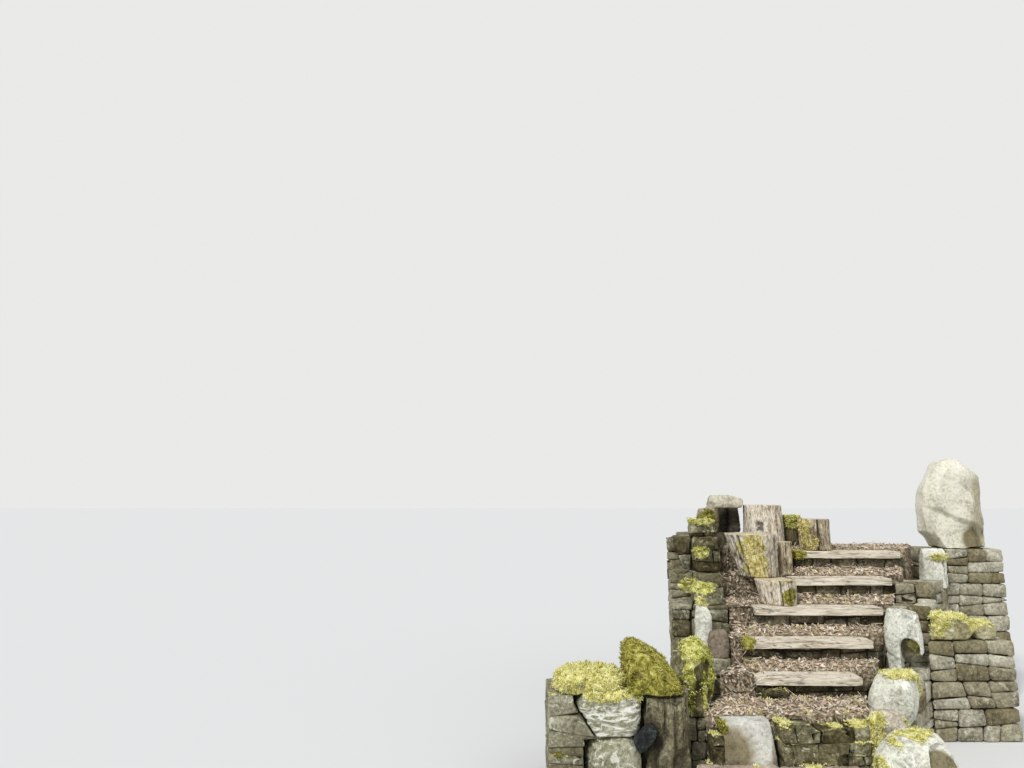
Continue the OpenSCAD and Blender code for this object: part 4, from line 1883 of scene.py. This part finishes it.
@dataclass
class Studio:
    """The floor, the light and the camera at the photograph's place."""

    eye: Point = (-2.15, -5.05, 1.66)
    pitch: float = 8.61
    sensor: float = 36
    lens: float = 700 / 1024 * 36
    far: float = 200
    floor_reach: float = 60
    floor_colour: Colour = (0.74, 0.74, 0.73)
    sky_colour: Colour = (0.93, 0.96, 1.0)
    sky_power: float = 0.5
    backdrop: Colour = (0.82, 0.82, 0.81)
    key_power: float = 2.2
    fill_power: float = 0.5

    def build(self) -> None:
        """Sets up the floor, the world, the lamps and the camera."""
        self.floor()
        self.world()
        self.lamp("key", (44, 0, -38), self.key_power, 10)
        self.lamp("fill", (55, 0, 60), self.fill_power, 60)
        self.camera()

    def floor(self) -> None:
        """Lays the plain floor."""
        bm = bmesh.new()
        bmesh.ops.create_grid(bm, x_segments=1, y_segments=1, size=self.floor_reach)
        mesh = stored(bm, "floor")
        g = Graph("plain_floor")
        mesh.materials.append(g.finish(self.floor_colour, 1.0))
        g.shader.inputs["Specular IOR Level"].default_value = 0.0
        floor = placed("floor", mesh)

    def camera(self) -> None:
        """Puts the camera at the photograph's eye point."""
        camera = bpy.data.cameras.new("camera")
        camera.sensor_width = self.sensor
        camera.lens = self.lens
        camera.clip_end = self.far
        stand = placed("camera", camera)
        stand.location = self.eye
        stand.rotation_euler = (math.radians(90 + self.pitch), 0, 0)
        bpy.context.scene.camera = stand
        bpy.context.scene.view_settings.view_transform = "Standard"

    def world(self) -> None:
        """Lights the scene evenly and shows a pale background to the camera, gloss and glass."""
        world = bpy.data.worlds.new("studio")
        bpy.context.scene.world = world
        world.use_nodes = True
        nodes, links = world.node_tree.nodes, world.node_tree.links
        light, shown = nodes["Background"], nodes.new("ShaderNodeBackground")
        for node, colour, power in ((light, self.sky_colour, self.sky_power), (shown, self.backdrop, 1.0)):
            node.inputs["Color"].default_value = (*colour, 1)
            node.inputs["Strength"].default_value = power
        rays = nodes.new("ShaderNodeLightPath")
        seen = rays.outputs["Is Camera Ray"]
        for kind in ("Is Glossy Ray", "Is Transmission Ray"):
            either = nodes.new("ShaderNodeMath")
            either.operation = "MAXIMUM"
            links.new(seen, either.inputs[0])
            links.new(rays.outputs[kind], either.inputs[1])
            seen = either.outputs[0]
        mix = nodes.new("ShaderNodeMixShader")
        for index, socket in enumerate((seen, light.outputs[0], shown.outputs[0])):
            links.new(socket, mix.inputs[index])
        links.new(mix.outputs[0], nodes["World Output"].inputs["Surface"])

    def lamp(self, name: str, turn: Point, power: float, spread: float) -> None:
        """Adds a wide soft lamp.

        Args:
            name: the lamp's name.
            turn: its turn in degrees.
            power: its strength.
            spread: how wide it is in degrees.
        """
        data = bpy.data.lights.new(name, "SUN")
        data.energy = power
        data.angle = math.radians(spread)
        placed(name, data).rotation_euler = [math.radians(angle) for angle in turn]


def walls() -> list[RubbleWall]:
    """Lists the rubble walls with their sizes.

    Returns:
        The walls.
    """
    bare = MossCover(cover=-0.75, lean=0.5, depth=0.008, tufts=60)
    return [
        RubbleWall("left_flank_wall", (0.3, 0.95, 0), seed=3,
                   moss=MossCover(cover=-0.4, lean=0.66,
                                  patches=(Patch((0.475, 0.48, 0.745), (0.1, 0.14, 0.07)),), tufts=420,
                                  kind=MossKind.CROWN)),
        RubbleWall("right_flank_wall", (0.65, 0.75, 0), finish=PALE_WALL, seed=4, moss=bare),
        RubbleWall("back_wall", (1, 0, 0), length=0.22, leaves=1, seed=5, moss=bare),
        RubbleWall("corner_wall", (1, 0, 0), length=0.19, course=0.11, seed=6,
                   moss=MossCover(cover=-0.35, lean=0.6, depth=0.012, tufts=420, kind=MossKind.OLIVE),
                   rounds=2),
        RubbleWall("return_wall", (1, 0, 0), finish=PALE_WALL, seed=7, moss=bare),
        RubbleWall("standing_stone_pier", (1, 0, 0), finish=PALE_WALL, seed=8, moss=bare),
        RubbleWall("stone_risers", (1, 0, 0), finish=SHADED_RISER, slot="step_stone", length=0.22, course=0.11,
                   leaves=1, joint=0.004, inset=0.02, seed=9,
                   moss=MossCover(cover=-0.5, lean=0.3, depth=0.006, tufts=90, kind=MossKind.OLIVE), rounds=2,
                   levels=0),
        RubbleWall("riser_stones", (1, 0, 0), finish=STACKED, slot="step_stone", length=0.17, leaves=1,
                   inset=0.05, seed=10,
                   moss=MossCover(cover=-0.1, lean=0.6, depth=0.014, tufts=460), rounds=2),
        RubbleWall("left_coping_stones", (1, 0.3, 0), finish=STACKED, slot="mossy_stone", length=0.17,
                   leaves=1, inset=0.05, seed=11,
                   moss=MossCover(cover=-0.8, lean=0.35,
                                  patches=(Patch((0.34, 0.41, 0.62), (0.3, 0.22, 0.1)),
                                           Patch((0.5, 0.6, 1.0), (0.6, 0.5, 0.08)),
                                           Patch((0.2, 0.05, 0.22), (0.45, 0.3, 0.16))),
                                  depth=0.022, tufts=460, kind=MossKind.CROWN),
                   rounds=2),
    ]


def corner_stones() -> list[FieldStone]:
    """Lists the stones of the corner at the foot of the left wall.

    Returns:
        The stones.
    """
    leans = ((0.16, 0.1), (0.38, 0.02), (0.6, -0.06), (0.82, 0.05))
    flutes = tuple(Seam((x, 0, 0.5), (1, 0.2, lean), reach=0.024, depth=0.03) for x, lean in leans)
    return [
        FieldStone("corner_quoin", QUOIN, slot="wall_stone", voxel=0.009, wear=1, swell=0.008, lump=0.004,
                   chips=5, chip_depth=0.05,
                   seams=(Seam((0.5, 0, 0.34), (0.12, 0, 1), reach=0.014, depth=0.01, dark=0.5),
                          Seam((0.5, 0, 0.68), (-0.16, 0, 1), reach=0.012, depth=0.009, dark=0.5)),
                   moss=MossCover(cover=-0.7, lean=0.5,
                                  patches=(Patch((0.55, 0.0, 1.0), (0.6, 0.8, 0.2)),
                                           Patch((0.95, 0.0, 0.9), (0.1, 0.5, 0.3))),
                                  depth=0.02, tufts=420),
                   seed=21),
        FieldStone("corner_base_block", SPECKLED, slot="wall_stone", voxel=0.011, wear=1, swell=0.012,
                   lump=0.004, chips=6, chip_depth=0.06,
                   seams=(Seam((0.4, 0, 0.55), (0.3, 0, 1), reach=0.014, depth=0.01, dark=0.4),
                          Seam((0.1, 0, 0.5), (1, 0, 0.2), reach=0.02, depth=0.02, dark=0.9)),
                   moss=MossCover(lean=0.4, depth=0.008, tufts=60, kind=MossKind.OLIVE), seed=22),
        FieldStone("corner_side_stone", FLUTED, slot="wall_stone", voxel=0.01, swell=0.026, lump=0.007,
                   hollows=(Hollow((0.12, 0.05, 0.52), reach=0.13, depth=0.05, dark=0.95),
                            Hollow((0.55, 0.1, 0.98), reach=0.1, depth=0.03, dark=0.6),
                            Hollow((0.72, 0.15, 0.3), reach=0.1, depth=0.035, dark=0.8)),
                   seams=flutes,
                   moss=MossCover(cover=-0.35, lean=0.4, depth=0.008, tufts=150, kind=MossKind.OLIVE),
                   seed=23),
        FieldStone("mossy_slab", MOSSY, slot="mossy_stone", voxel=0.009, wear=4, swell=0.012, lump=0.005,
                   lump_size=0.03,
                   moss=MossCover(cover=0.9, lean=0.3, depth=0.014, tufts=620, kind=MossKind.OLIVE), seed=24),
        FieldStone("mossy_cap_stone", BRIGHT, slot="mossy_stone", wear=3, swell=0.014, lump=0.008,
                   lump_size=0.03,
                   moss=MossCover(cover=0.75, lean=0.4, depth=0.03, tufts=760), seed=25),
        FieldStone("mossy_boulder", DRAPED, slot="mossy_stone", voxel=0.009, swell=0.018, lump=0.008,
                   lump_size=0.05, chips=4,
                   hollows=(Hollow((0.1, 0.1, 0.3), reach=0.12, depth=0.03, dark=0.8),
                            Hollow((0.5, 0.1, 0.42), reach=0.07, depth=0.03, dark=0.8),
                            Hollow((1.0, 0.2, 0.55), reach=0.17, tone=1.0, crisp=1.6),
                            Hollow((0.3, 0.0, 0.4), reach=0.15, tone=0.8, crisp=1.6)),
                   moss=MossCover(lean=0.5,
                                  patches=(Patch((0.45, 0.1, 0.95), (0.8, 1.2, 0.36)),
                                           Patch((0.9, 0.1, 0.5), (0.24, 1.0, 0.7)),
                                           Patch((0.3, 0.0, 0.45), (0.16, 0.8, 0.5)),
                                           Patch((0.64, 0.0, 0.35), (0.1, 0.8, 0.5))),
                                  depth=0.02, tufts=260, kind=MossKind.CROWN),
                   seed=26),
    ]


def side_stones() -> list[FieldStone]:
    """Lists the stones on the left wall and in the stone steps.

    Returns:
        The stones.
    """
    return [
        FieldStone("brown_stone", BROWN, slot="step_stone", voxel=0.006, wear=1, swell=0.006, chips=6,
                   chip_depth=0.1, seed=27),
        FieldStone("white_stone", PALE, wear=1, chips=8, chip_depth=0.12,
                   moss=MossCover(cover=-0.9, patches=(Patch((0.5, 0.3, 1.0), (0.8, 0.9, 0.16)),), tufts=60),
                   seed=28),
        # the hollows paint the shade under the slab's overhang and on its front
        FieldStone("top_slab", SHELF, voxel=0.009, wear=1, chips=4, chip_depth=0.05,
                   hollows=(Hollow((0.8, 0.5, 0.3), reach=0.24, dark=0.92, crisp=1.8),
                            Hollow((0.25, 0.2, 0.35), reach=0.22, tone=1.0, crisp=1.6)),
                   seams=(Seam((0.2, 0, 0.46), (0.1, 0, 1), reach=0.014, depth=0.016),
                          Seam((0.2, 0, 0.22), (-0.1, 0, 1), reach=0.014, depth=0.016)),
                   moss=MossCover(cover=-0.8, lean=0.35,
                                  patches=(Patch((0.15, 0.1, 0.45), (0.3, 0.8, 0.3)),), depth=0.012,
                                  tufts=260, kind=MossKind.OLIVE),
                   seed=30),
        # the tone on the left paints the shade over the block's left part, and the one on the right the shade
        # of its right side
        FieldStone("riser_block", BLOCK, wear=1, swell=0.003, chips=3, chip_depth=0.02,
                   hollows=(Hollow((0.02, 0.0, 0.5), reach=0.21, tone=1.0, crisp=1.5),
                            Hollow((1.0, 0.2, 0.4), reach=0.09, tone=0.55, crisp=2.0)),
                   moss=MossCover(cover=-0.9, lean=0.2,
                                  patches=(Patch((0.3, 0.0, 0.04), (0.5, 0.6, 0.14)),
                                           Patch((0.0, 0.2, 0.9), (0.14, 0.8, 0.16))),
                                  depth=0.008, tufts=160, kind=MossKind.OLIVE),
                   seed=18),
        FieldStone("foot_flags", FLAG, slot="step_stone", voxel=0.011, swell=0.008,
                   moss=MossCover(cover=-0.35, lean=0.55, depth=0.008, tufts=360), seed=20),
    ]


def edging_stones() -> list[FieldStone]:
    """Lists the stones on the right of the flight, from the foot upwards.

    Returns:
        The stones.
    """
    heights = (0.1, 0.34, 0.56)
    # painted shade, dark olive, in the scooped recess on the right
    scoop = tuple(Hollow((0.72, 0.32, z), reach=0.1, dark=0.15, tone=1.0, crisp=3.0) for z in heights)
    return [
        FieldStone("foot_boulder", PALE, voxel=0.009, swell=0.012, chips=5, chip_depth=0.05, hollows=scoop,
                   moss=MossCover(cover=-0.9, lean=0.3,
                                  patches=(Patch((0.5, 0.4, 1.0), (0.42, 0.5, 0.08)),
                                           Patch((0.2, 0.1, 0.93), (0.1, 0.4, 0.1)),
                                           Patch((0.02, 0.2, 0.35), (0.18, 0.5, 0.4))),
                                  depth=0.012, tufts=420),
                   seed=16),
        FieldStone("wedge_stone", ROSY, slot="mossy_stone", swell=0.012, chips=5,
                   moss=MossCover(cover=-0.5, lean=0.4,
                                  patches=(Patch((0.05, 0.2, 0.55), (0.34, 0.8, 0.6)),
                                           Patch((0.9, 0.2, 0.92), (0.36, 0.7, 0.18))),
                                  depth=0.014, tufts=420),
                   seed=15),
        FieldStone("round_boulder", PALE, swell=0.014, chips=5, chip_depth=0.06,
                   moss=MossCover(cover=-0.9,
                                  patches=(Patch((0.58, 0.25, 0.97), (0.62, 0.5, 0.12)),
                                           Patch((0.98, 0.4, 0.7), (0.12, 0.4, 0.3))),
                                  depth=0.012, tufts=360),
                   seed=14),
        # the hollow paints the shade inside the notch
        FieldStone("notched_block", GRANITE, voxel=0.007, wear=1, swell=0.008, chips=6, chip_depth=0.05,
                   hollows=(Hollow((0.64, 0.66, 0.4), reach=0.11, dark=0.45, tone=1.0, crisp=3.0),),
                   seams=(Seam((0.3, 0.0, 0.18), (-0.5, 0, -0.8), reach=0.016, depth=0.01, dark=0.5),),
                   moss=MossCover(cover=-0.9,
                                  patches=(Patch((0.14, 0.0, 0.24), (0.2, 0.5, 0.08)),
                                           Patch((0.34, 0.0, 0.12), (0.2, 0.5, 0.1)),
                                           Patch((0.8, 0.6, 0.42), (0.24, 0.3, 0.2))),
                                  depth=0.012, tufts=320),
                   seed=13),
        FieldStone("small_block", PALE, wear=1, chips=6,
                   seams=(Seam((0.74, 0.0, 0.5), (1, 0, 0.16), reach=0.012, depth=0.014, dark=0.85),
                          Seam((0.9, 0.0, 0.4), (1, 0, -0.1), reach=0.01, depth=0.012)),
                   moss=MossCover(cover=-0.9, patches=(Patch((0.55, 0.1, 0.78), (0.6, 0.6, 0.1)),), tufts=90),
                   seed=12),
        FieldStone("return_caps", BRIGHT, slot="mossy_stone", voxel=0.009, swell=0.014, lump=0.007,
                   lump_size=0.03,
                   moss=MossCover(cover=0.35, lean=0.5, depth=0.018, tufts=560), seed=17),
        # the hollows' tones paint shade in the lower right and on the right side, turned from the light
        FieldStone("standing_stone", STANDING, voxel=0.0105, swell=0.02, chips=3, chip_depth=0.03,
                   facets=(Facet((0.7, 0.0, 0.5), (0.6, -0.8, 0.05)),
                           Facet((0.05, 0, 0.7), (-0.8, -0.5, 0.15))),
                   ledges=(Ledge((0.38, 0, 0.38), (0.4, 0, 1), depth=0.034),),
                   hollows=(Hollow((0.74, 0.1, 0.08), reach=0.15, depth=0.026, dark=0.3, tone=1.0, crisp=1.6),
                            Hollow((1.02, 0.25, 0.3), reach=0.25, tone=0.55, crisp=2.4),
                            Hollow((1.02, 0.2, 0.62), reach=0.2, tone=0.5, crisp=2.0)),
                   seed=11),
    ]


def logs() -> list[Log]:
    """Lists the cut logs with their bark.

    Returns:
        The logs.
    """
    tan = ((132, 114, 88), (224, 209, 182), (252, 243, 225))
    brown = ((98, 86, 64), (170, 154, 124), (220, 206, 176))
    # dark bark, painted shade of the log that stands in shadow behind the others
    dark = ((40, 36, 24), (76, 72, 48), (120, 114, 84))
    return [
        Log("log_upper", BarkFinish("tan_bark", tan), seed=31, ridge=0.006, splits=(-150, -62, 20),
            split_width=0.035,
            knots_and_shade=(KnotOrShade(angle=-122, level=0.57, reach=0.034, depth=0.01, dark=0.85),
                   KnotOrShade(angle=-117, level=0.47, reach=0.04, depth=0.01, dark=0.85))),
        Log("log_mossy", BarkFinish("mossy_bark", tan, moss=MossKind.OCHRE), seed=32, ridge=0.009,
            splits=(-168, -150, -137, -42, -22, 10), split_width=0.07,
            # these patches without depth paint shade on the log's right side, turned from the light
            knots_and_shade=(KnotOrShade(angle=-46, level=0.55, reach=0.15),
                   KnotOrShade(angle=-44, level=0.15, reach=0.13, dark=0.4)),
            moss=MossCover(cover=-0.9,
                           patches=(Patch((0.38, 0.02, 0.78), (0.34, 0.7, 0.5)),
                                    Patch((0.52, 0.02, 0.26), (0.32, 0.7, 0.5))),
                           depth=0.003)),
        Log("log_lower", BarkFinish("brown_bark", tan, moss=MossKind.OLIVE), seed=33, ridge=0.009,
            splits=(-128, -96, -70), split_width=0.04,
            # painted shade on the log's right side
            knots_and_shade=(KnotOrShade(angle=-48, level=0.55, reach=0.1, dark=0.4),),
            moss=MossCover(cover=-0.9,
                           patches=(Patch((0.7, 0.15, 0.3), (0.26, 0.5, 0.6)),
                                    Patch((0.6, 0.1, 1.0), (0.5, 0.3, 0.1))),
                           depth=0.003)),
        Log("log_thin", BarkFinish("grey_bark", brown), seed=34, ridge=0.004, splits=(-100,),
            split_width=0.09),
        Log("log_landing", BarkFinish("landing_bark", brown, moss=MossKind.OCHRE), seed=35, ridge=0.006,
            splits=(-98,), split_width=0.13,
            # painted shadow over the log's lower left
            knots_and_shade=(KnotOrShade(angle=-118, level=0.22, reach=0.13, dark=0.7),),
            moss=MossCover(cover=-0.9,
                           patches=(Patch((0.18, 0.2, 0.2), (0.4, 0.6, 0.4)),
                                    Patch((0.06, 0.2, 0.75), (0.24, 0.6, 0.4))),
                           depth=0.005, tufts=60, kind=MossKind.OCHRE)),
        Log("log_back", BarkFinish("back_bark_painted_shade", dark, moss=MossKind.CROWN), seed=36, ridge=0.006,
            moss=MossCover(cover=0.1, lean=0.5, patches=(Patch((0.4, 0.0, 0.9), (0.8, 0.8, 0.4)),), tufts=200,
                           kind=MossKind.CROWN)),
    ]


def boards() -> list[Board]:
    """Lists the boards from the lowest up.

    Returns:
        The boards.
    """
    left_end = MossCover(cover=-0.9,
                         patches=(Patch((0.0, 0.3, 0.5), (0.14, 1.4, 1.4)),), depth=0.004, tufts=60,
                         kind=MossKind.OLIVE)
    return [
        Board("board_1", seed=41, worn_left=0.12),
        Board("board_2", seed=42, moss=left_end),
        Board("board_3", seed=43),
        Board("board_4", seed=44),
        Board("board_5", seed=45, moss=left_end),
    ]


def beds() -> list[LitterBed]:
    """Lists the litter on the treads, the landing and the bank.

    Returns:
        The beds.
    """
    return [
        LitterBed("tread_fill_1", seed=61, tufts=120, bank_chips=260),
        LitterBed("tread_fill_2", seed=62, tufts=60),
        LitterBed("tread_fill_3", seed=63, tufts=60),
        LitterBed("tread_fill_4", seed=64, tufts=90),
        LitterBed("tread_fill_5", seed=65, tufts=60),
        LitterBed("landing_fill", seed=66, step=0.024),
        LitterBed("side_bank", seed=67, earth=SHADED_BANK_EARTH, leaves=2000, twigs=260, chips=300, bank_chips=420,
                  step=0.027),
    ]


def main() -> None:
    """Builds the dressed steps and the studio."""
    logging.basicConfig(level=logging.INFO, format="%(message)s")
    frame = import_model()
    shop = Workshop(frame["nodes"])
    Studio().build()
    for part in (*walls(), *corner_stones(), *side_stones(), *edging_stones(), *boards(), *logs(), *beds()):
        part.build(shop)
    SlateWedge().build(shop)


if __name__ == "__main__":
    main()
